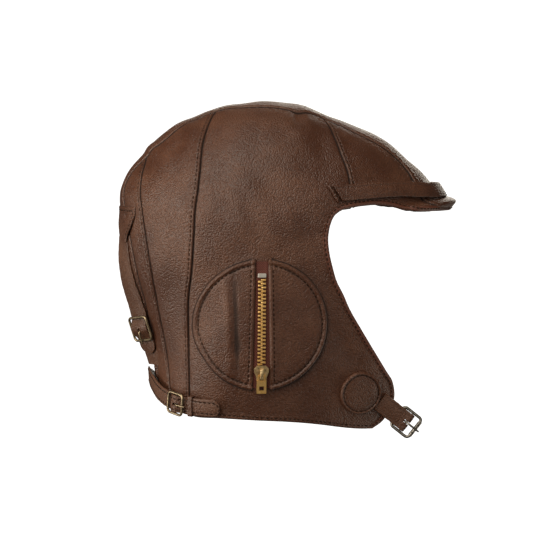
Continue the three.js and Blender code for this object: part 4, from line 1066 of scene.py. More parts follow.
for side, word in SIDES.items():
    o, u, v = new_grid(f"zip_ribbon_{word}", 24, 60)
    beside = (2 * u - 1) * TAPE_HALF
    p = at_place(EAR_X + beside, EAR_Z + (2 * v - 1) * (PATCH_R - 2), side)
    n = outward(p)
    rib = 0.16 * np.exp(-((np.abs(beside) - 3.1) / 0.5) ** 2)
    set_corners(o, p + n * (GAP + TAPE_THICK + rib)[:, None])
    outer_first(o, n)
    apply_modifier(o, "SOLIDIFY", thickness=TAPE_THICK / 1000, offset=-1)
    finish_piece(o, TAPE, "helmet", [f"zip_tape_{word}"], SHEET_ANGLE)

    # a tooth: a clamp over the tape's cord, with a nose that meets its neighbours
    pitch = (ZIP_TOP - ZIP_BOTTOM) / TOOTH_PAIRS
    size = TOOTH_WIDE * TOOTH_ACROSS, pitch * TOOTH_ALONG, TOOTH_HIGH
    tooth = rounded_box(size, TOOTH_ROUND, taper=TOOTH_TAPER)
    row = np.arange(TOOTH_PAIRS)
    ups = np.concatenate([ZIP_TOP - pitch * (row + 0.25), ZIP_TOP - pitch * (row + 0.75)])
    way = np.concatenate([np.ones(TOOTH_PAIRS), -np.ones(TOOTH_PAIRS)])
    m, a, d, n = zip_frame(side, ups)
    mid = m + a * (way * TOOTH_WIDE * 0.19)[:, None] + n * (TEETH_UNDER + TOOTH_HIGH / 2)
    o = copies(f"zip_chain_{word}", tooth, zip(mid, a * way[:, None], d, n))
    finish_piece(o, BRASS, "helmet", [f"zip_teeth_{word}"], HARD_ANGLE)


# %% [markdown]
# ## Stop, slider and pull
# These are hard parts that the CAD part already has. They are carried over as they are, since only their
# sharp edges look wrong: cast metal has a small round on each edge, which catches the light.


# %% Stop, slider and pull
def polished(node, material, width):
    """A CAD solid carried over, with its sharp edges rounded."""
    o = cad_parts[node]
    o.data.materials.clear()
    o.data.materials.append(material)
    weld = o.modifiers.new("weld", "WELD")
    weld.merge_threshold = WELD
    bevel = o.modifiers.new("bevel", "BEVEL")
    bevel.width, bevel.segments = width / 1000, 2
    bevel.limit_method, bevel.angle_limit = "ANGLE", math.radians(35)
    return o


for word in SIDES.values():
    polished(f"zip_stop_{word}", NICKEL, 0.4)
    polished(f"zip_slider_{word}", STEEL, 0.35)
    polished(f"zip_pull_{word}", BRASS, 0.25)
print("zips done")

# %% [markdown]
# ## Straps
# A strap is a bar swept along a line that lies over the shell. The line carries its own directions,
# so a length and a height above it are enough to lead leather over a buckle's bar or under its frame.


# %% Lines that straps follow
# STRAP_THICK is the leather of the straps. SEWN_IN is how far in from its edge a strap is sewn.
STRAP_THICK, SEWN_IN = 1.6, 2.1


def ring_path(along, height, stand_off, slope, count, start, end):
    """Runs round the shell at a height, between shares of a quarter turn from the middle."""
    t = np.linspace(start, end, count)
    angle = np.radians(90 * t)
    z = height(t)
    p = at_height(EAR[0] + along * np.cos(angle) * FRONT, np.sin(angle) * HALF, z)
    n = outward(p)
    n[:, 2] *= slope(t)
    n = unit(n)
    return rows_along(p + n * stand_off(t)[:, None], n)


class StrapLine:
    """A line with directions, measured from a marked share of it. It goes on straight past its ends."""

    def __init__(self, rows, mark):
        self.path, self.out = Line(rows[0]), rows[2]
        self.start = mark * self.path.length

    def at(self, length, height=0.0):
        length = np.atleast_1d(np.asarray(length, float))
        length, height = np.broadcast_arrays(length, np.asarray(height, float))
        total = self.path.length
        share = np.clip((self.start + length) / total, 0, 1)
        beyond = (self.start + length - share * total)[:, None]
        t = self.path.place(share)
        q = t * (len(self.out) - 1)
        i = np.minimum(q.astype(int), len(self.out) - 2)
        w = (q - i)[:, None]
        along = unit(self.path.point(np.minimum(t + 1e-4, 1)) - self.path.point(np.maximum(t - 1e-4, 0)))
        across = unit(np.cross(self.out[i] * (1 - w) + self.out[i + 1] * w, along))
        out = unit(np.cross(along, across))
        return self.path.point(t) + along * beyond + out * height[:, None], across, out, along

    def frame(self, length, height=0.0):
        """Middle, across, out and along at one place."""
        return tuple(v[0] for v in self.at(length, height))


def woven(line, levels, spacing=0.8):
    """Rows of a strap that rises and falls along its line, from (length, height) rows."""
    level_line = Line([(a, h, 0) for a, h in levels])
    levels = level_line.at(np.linspace(0, 1, int(level_line.length / spacing) + 2))
    middle, _, out, _ = line.at(levels[:, 0], levels[:, 1])
    return rows_along(middle, out), levels


def strap_piece(name, rows, width, thick, material, nodes, body="helmet", sewn=SEWN_IN):
    """A strap with pressed edges. width is one value or one for each row; stitches run inside the edges."""
    middle, across, out, _ = rows
    width = np.broadcast_to(np.asarray(width, float), (len(middle),))
    row = np.arange(len(middle))
    wave = 1 + 0.012 * np.sin(row * 0.9) + 0.01 * np.sin(row * 0.37)
    sections = np.array([strap_section(w * k, thick) for w, k in zip(width, wave)])
    groove = np.zeros(sections.shape[1])
    # corners of the section that lie in the pressed line and on the raised edge; the pressed line's lift
    # below zero paints shade into its colour
    groove[[4, 7]] = -0.35
    groove[[2, 9]] = 0.3
    o = sweep(name, (middle, across, out), sections, lift=groove)
    if sewn:
        edge = (width / 2 - sewn).clip(0)[:, None]
        for side in (-1, 1):
            stitch_lines.append((middle + across * edge * side + out * thick * 0.42, out))
    return finish_piece(o, material, body, nodes, BAR_ANGLE)


def tapered(levels, full, end_width, tip, end):
    """Full width up to the tip, then narrower to the end."""
    return np.interp(levels[:, 0], [end - tip, end - tip * 0.45, end], [full, full * 0.82, end_width])


def slotted(o, line, length, height, wide, long):
    """Cuts the prong's slot through a strap."""
    m, a, n, d = line.frame(length, height)
    cut(o, copies("slot_tool", rounded_box((wide, long, CUT_DEEP), 0.5), [(m, a, d, n)]))


print("a strap is", STRAP_THICK, "mm thick")

# %% [markdown]
# ## The brow strap
# A plain strap crosses the brow and stands off the leather, so that a goggle band can pass under it.
# A piped cap holds each end, cut aslant. The strap leans into its caps by leaning its sections there.

# %% Brow strap and its piped ends
BROW_WIDE, BROW_REACH, BROW_LEAN, PIPE = 11.5, 0.76, 0.42, 1.3
BROW_LAND = BROW_REACH * 1.03
BROW_OFF = 2.6
# share of the quarter turn, share of RISE
BROW = [(0, 0.3), (0.31, 0.302), (0.53, 0.322), (0.68, 0.308), (0.76, 0.298)]
brow_rows = ring_path(
    1, lambda t: EAR[2] + RISE * np.interp(np.abs(t), *np.array(BROW).T),
    lambda t: STRAP_THICK / 2 + GAP + BROW_OFF * (1 - (np.abs(t) / BROW_LAND) ** 4),
    lambda t: 0.62 + 0.38 * np.abs(t / BROW_LAND), 25, -BROW_REACH, BROW_REACH)
brow_line = StrapLine(brow_rows, 0.5)
half_brow = brow_line.path.length / 2
flat = [(a, 0) for a in np.linspace(-half_brow, half_brow, 9)]
(middle, across, out, along), levels = woven(brow_line, flat, 1.2)
# the ends are cut aslant, so each section leans more the nearer it is to an end
near_end = np.clip(1 - (half_brow - np.abs(levels[:, 0])) / (half_brow / 12), 0, 1)
lean = near_end * np.sign(levels[:, 0]) * BROW_LEAN
rows = middle, across + along * lean[:, None], out, along
strap_piece("brow_leather", rows, BROW_WIDE, STRAP_THICK, LEATHER, ["brow_strap"], sewn=0)

for side, word in SIDES.items():
    middle, across, out, along = brow_line.frame(side * half_brow)
    along = along * side
    across = across + along * BROW_LEAN
    t = np.linspace(-1, 1, 25)
    flat = middle + along * (PIPE + GAP) * 1.25 + across * (t * BROW_WIDE / 1.8)[:, None]
    p = onto_shell(flat)
    n = outward(p)
    rows = rows_along(p + n * (GAP + PIPE), n)
    radius = PIPE * (1 - 0.35 * np.abs(t) ** 6)
    cap = sweep(f"brow_cap_{word}", rows[:3], round_sections(radius, 14))
    finish_piece(cap, LEATHER, "helmet", [f"brow_strap_end_{word}"], SHEET_ANGLE)
    stitch_lines.append((rows[0] + rows[2] * 1.25, rows[2]))
print("brow strap", round(2 * half_brow), "mm long")

# %% [markdown]
# ## Buckles
# Each buckle is a ring of wire with a bar across it and a prong that turns on the bar. The ring is swept
# round a rounded rectangle. A cut and bevelled block could be used, but wire has a round section.

# %% Buckles
# WIRE is a full thickness. BAR and PRONG are half thicknesses, and CORNER is a radius.
WIRE, BAR, CORNER, PRONG = 1.9, 0.8, 2.6, 0.65


def joined(start, end):
    """Points of a straight run between two corners, without its ends."""
    start, end = np.array(start), np.array(end)
    return [tuple(start + (end - start) * k) for k in np.linspace(0, 1, 30)[1:-1]]


def buckle_piece(name, row, width, length, drop, material, node, body="helmet", rolled=0, thick=1):
    """A rounded wire ring with a bar across its middle. A rolled front bar is a little thicker and ribbed."""
    middle, across, out, along = row
    half_a, half_b = width / 2 - WIRE / 2, length / 2 - WIRE / 2
    plane = []
    for sa, sb in ((1, 1), (-1, 1), (-1, -1), (1, -1)):
        turns = [(1 - math.cos(k), 1 - math.sin(k)) for k in np.radians(np.linspace(0, 90, 9))]
        arc = [(sa * (half_a - CORNER * a), sb * (half_b - CORNER * b)) for a, b in turns]
        arc = arc if sa * sb > 0 else arc[::-1]
        if plane:
            plane += joined(plane[-1], arc[0])
        plane += arc
    plane = np.array(plane + joined(plane[-1], plane[0]))
    points = middle + across * plane[:, :1] + along * plane[:, 1:2]
    heading = round_loop(points)
    outs = np.broadcast_to(out, points.shape)
    straight_front = np.abs(plane[:, 0]) < half_a - CORNER + 0.5
    front = np.clip((plane[:, 1] - half_b + 0.6) / 0.6, 0, 1) * straight_front
    radius = WIRE / 2 * (thick + rolled * front * (0.75 + 0.25 * np.sin(plane[:, 0] * 7)))
    rows = points, unit(np.cross(outs, heading)), outs
    ring = sweep(name, rows, round_sections(radius, 16), closed=True)
    ends = np.array([middle + across * k - out * drop for k in np.linspace(-half_a, half_a, 12)])
    rows = ends, np.broadcast_to(along, ends.shape), np.broadcast_to(out, ends.shape)
    bar = sweep(name + "_bar", rows, round_section(BAR, 16))
    return join_pieces(ring, bar, material, [node], body)


def join_pieces(first, second, material, nodes, body):
    deselect()
    second.select_set(True)
    first.select_set(True)
    bpy.context.view_layer.objects.active = first
    bpy.ops.object.join()
    return finish_piece(first, material, body, nodes, BAR_ANGLE)


def prong_piece(name, line, path, material, node, body="helmet", radius=PRONG):
    """A round prong over a frame, tapering and bent down a little at its tip."""
    rows, _ = woven(line, path, 0.3)
    share = np.linspace(0, 1, len(rows[0]))
    thin = radius * (1 - 0.3 * np.clip((share - 0.72) / 0.28, 0, 1) ** 2)
    o = sweep(name, rows[:3], round_sections(thin, 12))
    return finish_piece(o, material, body, [node], BAR_ANGLE) if node else o


# heights of the parts of a buckle over the middle of the strap
BUCKLE_LEVEL = STRAP_THICK / 2 + GAP + WIRE / 2
BAR_DROP = 0.75
TONGUE_TOP = BUCKLE_LEVEL - BAR_DROP + BAR + GAP + STRAP_THICK / 2
TAB_THICK = 1.2
TAB_LEVEL = -(STRAP_THICK / 2 + GAP + TAB_THICK / 2)


def fastened(name, line, width, frame_length, tongue_to, tab_to, metal, sewn=SEWN_IN):
    """A fastened buckle on a line: tongue through the frame, tab under it, and the prong over it."""
    half = frame_length / 2
    flat, hump, tip = half - WIRE * 0.9, BAR * 1.6, width * 0.3
    levels = [(a, 0) for a in np.linspace(-line.start, -half - WIRE, 7)]
    levels += [
        (-flat, 0.15), (-hump, TONGUE_TOP), (0, TONGUE_TOP), (hump, TONGUE_TOP), (flat, 0.15),
        (half + WIRE, 0), (half + WIRE + 4, 0), (tongue_to, 0),
    ]
    rows, levels = woven(line, levels)
    widths = tapered(levels, width, width * 0.45, tip, tongue_to)
    tongue = strap_piece(f"{name}_tongue", rows, widths, STRAP_THICK, STRAP, [f"{name}_strap"], sewn=sewn)
    slotted(tongue, line, hump, TONGUE_TOP, 1.9, 4.4)

    level, wrap = BUCKLE_LEVEL - BAR_DROP, BAR + GAP + TAB_THICK / 2
    path = [(wrap * math.cos(k), level + wrap * math.sin(k)) for k in np.radians((180, 225))]
    path += [(0, level - wrap), (hump * 1.6, level - wrap)]
    path += [(a, TAB_LEVEL) for a in (half * 0.9, half + 4, half + 9, tab_to)]
    rows, _ = woven(line, path)
    strap_piece(f"{name}_under", rows, width * 0.94, TAB_THICK, STRAP, [f"{name}_tab"], sewn=0)

    over = BUCKLE_LEVEL + WIRE / 2 + 1.8 * GAP + PRONG
    root = level + BAR + GAP + PRONG
    path = [(hump, root), (hump * 2, over), (half - WIRE / 2, over), (half + 1.4, over)]
    prong_piece(f"{name}_pin", line, path, metal, f"{name}_prong")
    outer = width + 2 * (WIRE + GAP)
    row = line.frame(0, BUCKLE_LEVEL)
    buckle_piece(f"{name}_frame", row, outer, frame_length, BAR_DROP, metal, f"{name}_buckle")


# %% [markdown]
# ## The yoke and the goggle strap
# At the back a stitched patch, the yoke, carries a strap that hangs down to a buckle over the nape.
# The yoke is a sheet on the shell, and the strap's line stands off and turns aside, as its leather does.

# %% Goggle yoke and strap
YOKE_Y, YOKE_HALF, YOKE_THICK, YOKE_STITCH = -16.0, 27.0, 1.3, 3.0
YOKE_TOP, YOKE_FOOT = EAR[2] + RISE * 0.2, EAR[2] - DROP * 0.05
# shares of the height from the top: the half width, then how far the yoke stands off the shell
YOKE = [(0, 1), (0.25, 0.96), (0.55, 0.74), (0.8, 0.46), (1, 0.35)]
YOKE_OFF = [(0, 0.8), (0.12, 1.15), (0.5, 2.1), (1, 2.1)]
DIMPLE_DEEP, DIMPLE_DOWN, DIMPLE_HIGH, DIMPLE_ASIDE, DIMPLE_WIDE = 0.9, 7, 2.2, 9, 3.0
# heights below zero in YOKE_RIM also paint shade into the leather's colour through the lift
YOKE_RIM = [(0, -0.6), (0.4, -0.05), (1.2, 0.25), (2.2, 0.15), (3.0, -0.18), (3.8, 0.05), (6, 0)]


def at_back(y, z):
    return at_height(np.full(len(y), EAR[0] - BACK), y, z)


def yoke_half(v):
    """Half the yoke's width at a share of its height from the top."""
    return YOKE_HALF * np.interp(v, *np.array(YOKE).T)


def yoke_face(u, v):
    """The outer face of the yoke, with its dimple and its edge pressed in."""
    half = yoke_half(v)
    z = YOKE_TOP + (YOKE_FOOT - YOKE_TOP) * v
    p = at_back(YOKE_Y + u * half, z)
    n = outward(p)
    inside = np.minimum((1 - np.abs(u)) * half, np.minimum(v, 1.2 - v) * (YOKE_TOP - YOKE_FOOT))
    down, aside = (YOKE_TOP - DIMPLE_DOWN - z) / DIMPLE_HIGH, (u * half + DIMPLE_ASIDE) / DIMPLE_WIDE
    dimple = -DIMPLE_DEEP * np.exp(-down ** 2 - aside ** 2)
    rim = np.interp(inside, *np.array(YOKE_RIM).T)
    base = np.interp(v, *np.array(YOKE_OFF).T)
    return p + n * (base + rim + dimple)[:, None], n, rim


o, u, v = grid_from("goggle_yoke_leather", np.linspace(-1, 1, 90), np.linspace(0, 1, 44))
p, n, height = yoke_face(u, v)
set_corners(o, p)
set_lift(o, height)
outer_first(o, n)
apply_modifier(o, "SOLIDIFY", thickness=YOKE_THICK / 1000, offset=-1)
finish_piece(o, LEATHER, "helmet", ["goggle_yoke"], SHEET_ANGLE)
inset = YOKE_STITCH / (YOKE_TOP - YOKE_FOOT)
down = np.linspace(inset, 0.97, 80)
beside = 1 - YOKE_STITCH / yoke_half(down)
for u, v in ((np.linspace(-0.88, 0.88, 160), np.full(160, inset)), (-beside, down), (beside, down)):
    stitch_lines.append(yoke_face(u, v)[:2])

# share of DROP below the ear axis, how far the strap stands off and turns there
GOGGLE = [
    (0.02, 0.18), (0.054, 0.24), (0.12, 0.42), (0.2, 0.6), (0.29, 0.78), (0.38, 0.94), (0.47, 1),
    (0.56, 0.98), (0.62, 0.88), (0.68, 0.7), (0.72, 0.6), (0.775, 0.57),
]
GOGGLE_TURN, GOGGLE_OFF = 0.5, 4.8
share = np.linspace(GOGGLE[0][0], GOGGLE[-1][0], 19)
p = at_back(YOKE_Y - 4 * share, EAR[2] - share * DROP)
loose = np.interp(share, *np.array(GOGGLE).T)[:, None]
n = unit(outward(p) + np.array([[0, -GOGGLE_TURN, 0]]) * loose)
goggle_rows = rows_along(p + n * GOGGLE_OFF * loose, n)
goggle_line = StrapLine(goggle_rows, (0.5 - GOGGLE[0][0]) / (GOGGLE[-1][0] - GOGGLE[0][0]))
fastened(
    "goggle", goggle_line, width=18, frame_length=19, tongue_to=19, tab_to=28,
    metal=OLD_BRASS, sewn=0)
print("goggle strap", round(goggle_line.path.length), "mm long")

# %% [markdown]
# ## The nape strap
# A strap goes round the nape, through a buckle behind the right ear, and its end is held by a keeper.
# The line runs round the shell at a height, close to it where the strap is sewn and free elsewhere.

# %% Nape strap
# share of the quarter turn, share of DROP below the ear axis
NAPE = [(0, 0.757), (0.3, 0.791), (0.5, 0.825), (0.62, 0.848), (0.71, 0.862), (0.86, 0.87), (1, 0.872)]
FREE_OFF, FREE_MORE = 4.6, 1.1


def nape_rise(t):
    """How far the strap stands off the shell: free over the nape, and close where it is sewn."""
    k = np.clip((-t - 0.3) / 0.3, 0, 1)
    sewn = np.clip((t - 0.5) / 0.28, 0, 1)
    free, sewn = FREE_OFF + FREE_MORE * k * k * (3 - 2 * k), sewn * sewn * (3 - 2 * sewn)
    return free + (STRAP_THICK / 2 + 1.8 * GAP - free) * sewn


NAPE_START, NAPE_END, NAPE_BUCKLE = 0.78, -0.95, -0.475
NAPE_WIDE, NAPE_FRAME = 12, 16
nape_rows = ring_path(
    -1, lambda t: EAR[2] - DROP * np.interp(np.abs(t), *np.array(NAPE).T), nape_rise,
    lambda t: 0.8 + 0 * t, 41, NAPE_START, NAPE_END)
nape_line = StrapLine(nape_rows, (NAPE_BUCKLE - NAPE_START) / (NAPE_END - NAPE_START))
fastened(
    "nape", nape_line, width=NAPE_WIDE, frame_length=NAPE_FRAME, tongue_to=33, tab_to=24,
    metal=OLD_BRASS)

# keeper: a leather loop round both layers
m, a, n, d = nape_line.frame(NAPE_FRAME / 2 + 4)
CLEAR, TURN_R = GAP + 0.45, 0.7
wide, high, low = NAPE_WIDE / 2 + CLEAR, STRAP_THICK / 2 + CLEAR, TAB_LEVEL - TAB_THICK / 2 - CLEAR
loop = []
for cx, ch, first in ((wide, high, 0), (-wide, high, 90), (-wide, low, 180), (wide, low, 270)):
    for angle in np.radians(np.linspace(first, first + 90, 6)):
        a_at = cx + TURN_R * (math.cos(angle) - np.sign(cx))
        loop.append((a_at, ch + TURN_R * (math.sin(angle) - np.sign(ch))))
loop = np.array(loop)
points = m + a * loop[:, :1] + n * loop[:, 1:2]
heading = round_loop(points)
across = np.broadcast_to(d, points.shape)
band = np.array([
    (-1.7, -0.2), (-1.5, -0.4), (1.5, -0.4), (1.7, -0.2), (1.7, 0.2), (1.4, 0.42), (0.9, 0.36),
    (-0.9, 0.36), (-1.4, 0.42), (-1.7, 0.2),
])
keeper = sweep("nape_loop", (points, across, unit(np.cross(heading, across))), band, closed=True)
finish_piece(keeper, STRAP, "helmet", ["nape_keeper"], BAR_ANGLE)
print("nape strap", round(nape_line.path.length), "mm long")

# %% [markdown]
# ## The chin patches and straps
# A round patch on each cheek covers the root of a chin strap. The right strap folds round the bar of a
# buckle, which turns with its prong on that bar, and the left strap is a plain tongue with three holes.
# The patch is a grid wound round its middle, which keeps its rim smooth.

# %% Chin patches and straps
CHIN_R, CHIN_WIDE, CHIN_REACH, CHIN_LONG, CHIN_STITCH = 15.0, 14.0, 25.5, 17.6, 2.1
CHIN_X, CHIN_Z = (float(v) for v in side_point(0.476, -0.817))
START, DOWN, IN = math.radians(24), math.radians(39), math.radians(8)
# distance in from the edge, height over the shell
CHIN_RIM = [
    (0, 1.3), (0.25, 1.95), (0.9, 2.4), (1.5, 2.2), (2.1, 1.6), (2.9, 1.75), (4.5, 2.1), (7, 2.25), (15, 2.2),
]
CHIN_MIDDLE, CHIN_FRAME_WIDE, SLOT_WIDE, HOLE_R = 0.05, 18.6, 2.0, 1.0
HOLES = (0.3, 0.53, 0.75)


def chin_face(r, angle, side):
    p = at_place(CHIN_X + r * np.cos(angle), CHIN_Z + r * np.sin(angle), side)
    n = outward(p)
    return p, n, np.interp(CHIN_R - r, *np.array(CHIN_RIM).T)


def chin_frame(side):
    """Middle, across, out and along where a chin strap starts beside its patch."""
    clear = CHIN_R + 3 * GAP
    start = at_place(CHIN_X + clear * math.cos(START), CHIN_Z - clear * math.sin(START), side)
    n = outward(start)
    along = np.array([[math.cos(DOWN) * math.cos(IN), -side * math.sin(IN), -math.sin(DOWN) * math.cos(IN)]])
    across = unit(np.cross(n, along))
    out = unit(np.cross(along, across))
    return start + n * (GAP + STRAP_THICK / 2), across, out, along


def straight(row, far=60.0):
    """A strap line that runs straight from a row."""
    middle, across, out, along = row
    k = np.linspace(0, far, 7)[:, None]
    spread = [np.broadcast_to(v, (7, 3)) for v in (across, out, along)]
    return StrapLine((middle + along * k, *spread), 0)


for side, word in SIDES.items():
    radii = np.concatenate([np.linspace(CHIN_MIDDLE, 9, 10)[:-1], np.linspace(9, CHIN_R, 34)])
    o, u, v = grid_from(f"chin_round_{word}", np.linspace(0, 1, 97), np.arange(len(radii) + 2.0))
    ring = np.rint(v).astype(int)
    r = np.concatenate([radii, [CHIN_R, CHIN_MIDDLE]])[ring]
    p, n, height = chin_face(r, u * 2 * math.pi, side)
    under = ring >= len(radii)
    height = np.where(under, GAP, height + 0.1 * softly(p * 2))
    set_corners(o, p + n * height[:, None])
    # the lift below zero paints shade into the groove inside the rim
    set_lift(o, np.where(under, 0, np.interp(CHIN_R - r, [0, 0.9, 2.1, 3.2], [0.2, 0.9, -0.5, 0])))
    face_out(o)
    close_ends(o)
    face_out(o)
    finish_piece(o, LEATHER, "helmet", [f"chin_patch_{word}"], SHEET_ANGLE)
    angle = np.linspace(0, 2 * math.pi, 160)
    p, n, height = chin_face(np.full(160, CHIN_R - CHIN_STITCH), angle, side)
    stitch_lines.append((p + n * height[:, None], n))

# the right strap folds round the buckle's bar
WRAP = BAR + GAP + STRAP_THICK / 2
FOLD_LEVEL = -(STRAP_THICK + GAP) / 2
REAR_LEVEL = -(1.5 * STRAP_THICK + 2 * GAP + WIRE / 2)
CHIN_HALF = (CHIN_LONG - WIRE) / 2
TILT = math.asin((FOLD_LEVEL - REAR_LEVEL) / CHIN_HALF)
chin_line = straight(chin_frame(RIGHT))
rear = CHIN_REACH - CHIN_HALF
turns = np.radians(np.linspace(75, -75, 6))
beneath = -STRAP_THICK - GAP
path = [(0, 0), (rear - 2, 0), (rear + 2, 0)]
path += [(CHIN_REACH + WRAP * math.cos(k), FOLD_LEVEL + WRAP * math.sin(k)) for k in turns]
path += [(rear + 2, beneath), (rear - 2, beneath), (rear - 6, beneath)]
lengths, heights, _ = Line([(a, h, 0) for a, h in path]).at(np.linspace(0, 1, 90)).T
middle, across, _, _ = chin_line.at(lengths, heights)
heading = unit(np.gradient(middle, axis=0))
rows = middle, across, unit(np.cross(heading, across)), heading
strap = strap_piece("chin_leather_right", rows, CHIN_WIDE, STRAP_THICK, STRAP, ["chin_strap_right"], sewn=0)
slotted(strap, chin_line, CHIN_REACH + 0.6 * WRAP, FOLD_LEVEL, SLOT_WIDE, 4.2 * WRAP)

c, s = math.cos(TILT), math.sin(TILT)
middle, across, out, along = chin_line.frame(CHIN_REACH, FOLD_LEVEL)
pivot = (middle, across, out * c - along * s, along * c + out * s)
buckle_piece(
    "chin_frame", pivot, CHIN_FRAME_WIDE, CHIN_LONG, 0, GUNMETAL, "chin_buckle", "buckle_frame",
    rolled=0.5, thick=1.15)

# the prong: an eye round the bar, and a pin over the frame
over = WIRE / 2 + GAP + PRONG
eye_ring = np.radians(np.linspace(0, 360, 28, endpoint=False))
middle, across, out, along = pivot
spokes = along * np.cos(eye_ring)[:, None] + out * np.sin(eye_ring)[:, None]
eye_out = BAR + GAP + 0.4
eye_band = [
    (-PRONG, -0.2), (-0.5, -0.4), (0.5, -0.4), (PRONG, -0.2), (PRONG, 0.2), (0.5, 0.4), (-0.5, 0.4),
    (-PRONG, 0.2),
]
rows = middle + spokes * eye_out, np.broadcast_to(across, spokes.shape), spokes
eye = sweep("chin_pin_eye", rows, eye_band, closed=True)
pin_path = [(0.4, eye_out), (3, over + 0.5), (CHIN_HALF, over), (CHIN_HALF + 3.5, over - 0.6)]
pin_line = straight([v[None] for v in pivot])
pin = prong_piece("chin_pin", pin_line, pin_path, GUNMETAL, None, radius=0.75)
join_pieces(pin, eye, GUNMETAL, ["chin_prong"], "buckle_prong")

# the left strap is the loose end, with three holes
left_line = straight(chin_frame(LEFT))
tongue_long = CHIN_REACH + CHIN_HALF
rows, levels = woven(left_line, [(a, 0) for a in np.linspace(0, tongue_long, 6)])
widths = tapered(levels, CHIN_WIDE, CHIN_WIDE * 0.4, CHIN_WIDE * 0.3, tongue_long)
tongue = strap_piece("chin_leather_left", rows, widths, STRAP_THICK, STRAP, ["chin_strap_left"], sewn=0)
for share in HOLES:
    m, a, n, d = left_line.frame(tongue_long * share)
    deselect()
    bpy.ops.mesh.primitive_cylinder_add(
        vertices=24, radius=HOLE_R / 1000, depth=CUT_DEEP / 1000, location=(0, 0, 0))
    cut(tongue, copies("hole_tool", bpy.context.object, [(m, a, d, n)]))
print("chin straps", round(tongue_long, 1), "mm")

# %% [markdown]
# ## Stitches
# Each panel, patch and strap has kept the line where it is sewn. A stitch is a small flattened ball,
# copied along those lines at an even pitch with its long side along the seam. A bump map could show
# them too, but at this distance a stitch of its own catches the light and throws a shadow.

# %% Stitches
STITCH_PITCH, STITCH_LONG, STITCH_WIDE, STITCH_HIGH = 3.3, 2.3, 1.15, 0.6
STITCH_LEAN, LEAN_SPREAD, STITCH_UP = 0.05, 0.03, 0.1
STITCHES_A_PIECE = 1100
frames = []


def along_line(at, far, values):
    """Values of a table of points at lengths along it."""
    return np.stack([np.interp(at, far, values[:, k]) for k in range(3)], 1)


for points, normals in stitch_lines:
    steps = np.linalg.norm(np.diff(points, axis=0), axis=1)
    far = np.concatenate([[0], np.cumsum(steps)])
    if far[-1] < 3 * STITCH_PITCH:
        continue
    at = np.arange(STITCH_PITCH / 2, far[-1], STITCH_PITCH)
    place = along_line(at, far, points)
    along = unit(along_line(at + 0.5, far, points) - along_line(at - 0.5, far, points))
    up = unit(along_line(at, far, normals))
    across = unit(np.cross(along, up))
    lean = rng.normal(0, LEAN_SPREAD, len(at))[:, None]
    along = unit(along + across * (lean + STITCH_LEAN))
    frames += list(zip(place + up * STITCH_UP, unit(np.cross(along, up)), along, up))
print("stitches:", len(frames))

for part in range(0, len(frames), STITCHES_A_PIECE):
    deselect()
    bpy.ops.mesh.primitive_uv_sphere_add(segments=10, ring_count=6, radius=0.5, location=(0, 0, 0))
    bead = bpy.context.object
    set_corners(bead, corners_of(bead)[:, [0, 2, 1]] * [STITCH_WIDE, STITCH_LONG, STITCH_HIGH])
    o = copies(f"stitches_{part // STITCHES_A_PIECE}", bead, frames[part:part + STITCHES_A_PIECE])
    finish_piece(o, THREAD, "helmet", (), SHEET_ANGLE)

# %% [markdown]
# ## Stage and light
# The photograph has a plain white ground. A floor and a dome glow white for the camera alone, because a
# ground that also lit the leather would wash its brown out. Six warm lights and a dim world do the rest.

# %% Stage
FLOOR_SIZE, FLOOR_DOWN, DOME_R = 3, -1.2, 7
WARM, SKY = (1.0, 0.93, 0.81), (1, 0.93, 0.8, 1)


def plain_white(name):
    """Gives the new object a white that the camera sees and that lights nothing."""
    o = bpy.context.object
    o.name = name
    m, tree, shader, _ = start_material(name + "_white")
    glow = {"Emission Color": (1, 1, 1, 1), "Emission Strength": 1.1}
    wire(tree, shader, {"Base Color": (0.8, 0.8, 0.8, 1), "Roughness": 0.9, **glow})
    o.data.materials.append(m)
    o.visible_diffuse = o.visible_glossy = o.visible_shadow = False


deselect()
bpy.ops.mesh.primitive_plane_add(size=FLOOR_SIZE, location=(0, 0, FLOOR_DOWN))
plain_white("floor")
deselect()
bpy.ops.mesh.primitive_uv_sphere_add(segments=48, ring_count=24, radius=DOME_R, location=(0, 0, 0))
plain_white("backdrop")

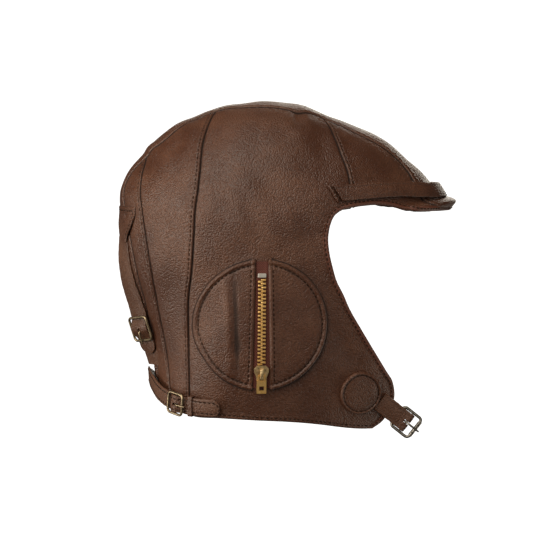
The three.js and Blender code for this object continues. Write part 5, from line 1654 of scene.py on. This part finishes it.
bpy.context.scene.view_settings.view_transform = "Standard"
world = bpy.data.worlds.new("pale_world")
bpy.context.scene.world = world
world.use_nodes = True
sky = world.node_tree.nodes["Background"].inputs
sky["Color"].default_value = SKY
sky["Strength"].default_value = 0.1


def area_light(name, place, aim, size, watts):
    """A round warm light that looks from its place at its aim."""
    deselect()
    bpy.ops.object.light_add(type="AREA", location=place)
    o = bpy.context.object
    o.name = name
    o.data.shape = "DISK"
    o.data.size, o.data.energy, o.data.color = size, watts, WARM
    o.rotation_euler = (Vector(aim) - Vector(place)).to_track_quat("-Z", "Y").to_euler()


# place, height of the aim, size, watts
LIGHTS = {
    "key_light": ((-0.9, -1.5, 0.6), -0.12, 1.2, 27),
    "rear_light": ((-1.7, -0.4, -0.1), -0.15, 1.1, 31),
    "top_light": ((-0.3, -0.7, 1.4), -0.05, 1.0, 19),
    "fill_light": ((1.2, -1.5, 0.1), -0.12, 1.0, 6),
    "far_light": ((0.5, 1.8, 0.3), -0.12, 1.4, 18),
    "low_light": ((1.3, 0.1, -0.9), -0.12, 1.0, 8),
}
for name, (place, aim, size, watts) in LIGHTS.items():
    area_light(name, place, (0, 0, aim), size, watts)
print("lights:", len(LIGHTS))

# %% [markdown]
# ## Camera
# A long lens from the helmet's right side, a little behind it and a little above, gives the photograph's
# view. The place is worked out from two angles and a distance, which are easier to match than a point.

# %% Camera
AZIMUTH, ELEVATION, DISTANCE, FOCAL = math.radians(-6), math.radians(4), 1.3, 114.5
TARGET = Vector((0.0118, 0, -0.1282))
level = math.cos(ELEVATION)
back = Vector((math.sin(AZIMUTH) * level, -math.cos(AZIMUTH) * level, math.sin(ELEVATION)))
bpy.ops.object.camera_add(location=TARGET + back * DISTANCE)
camera = bpy.context.object
camera.rotation_euler = (-back).to_track_quat("-Z", "Y").to_euler()
camera.data.lens, camera.data.sensor_width = FOCAL, 36
camera.data.clip_start, camera.data.clip_end = 0.05, 30
bpy.context.scene.camera = camera
print("camera at", [round(v, 3) for v in camera.location])
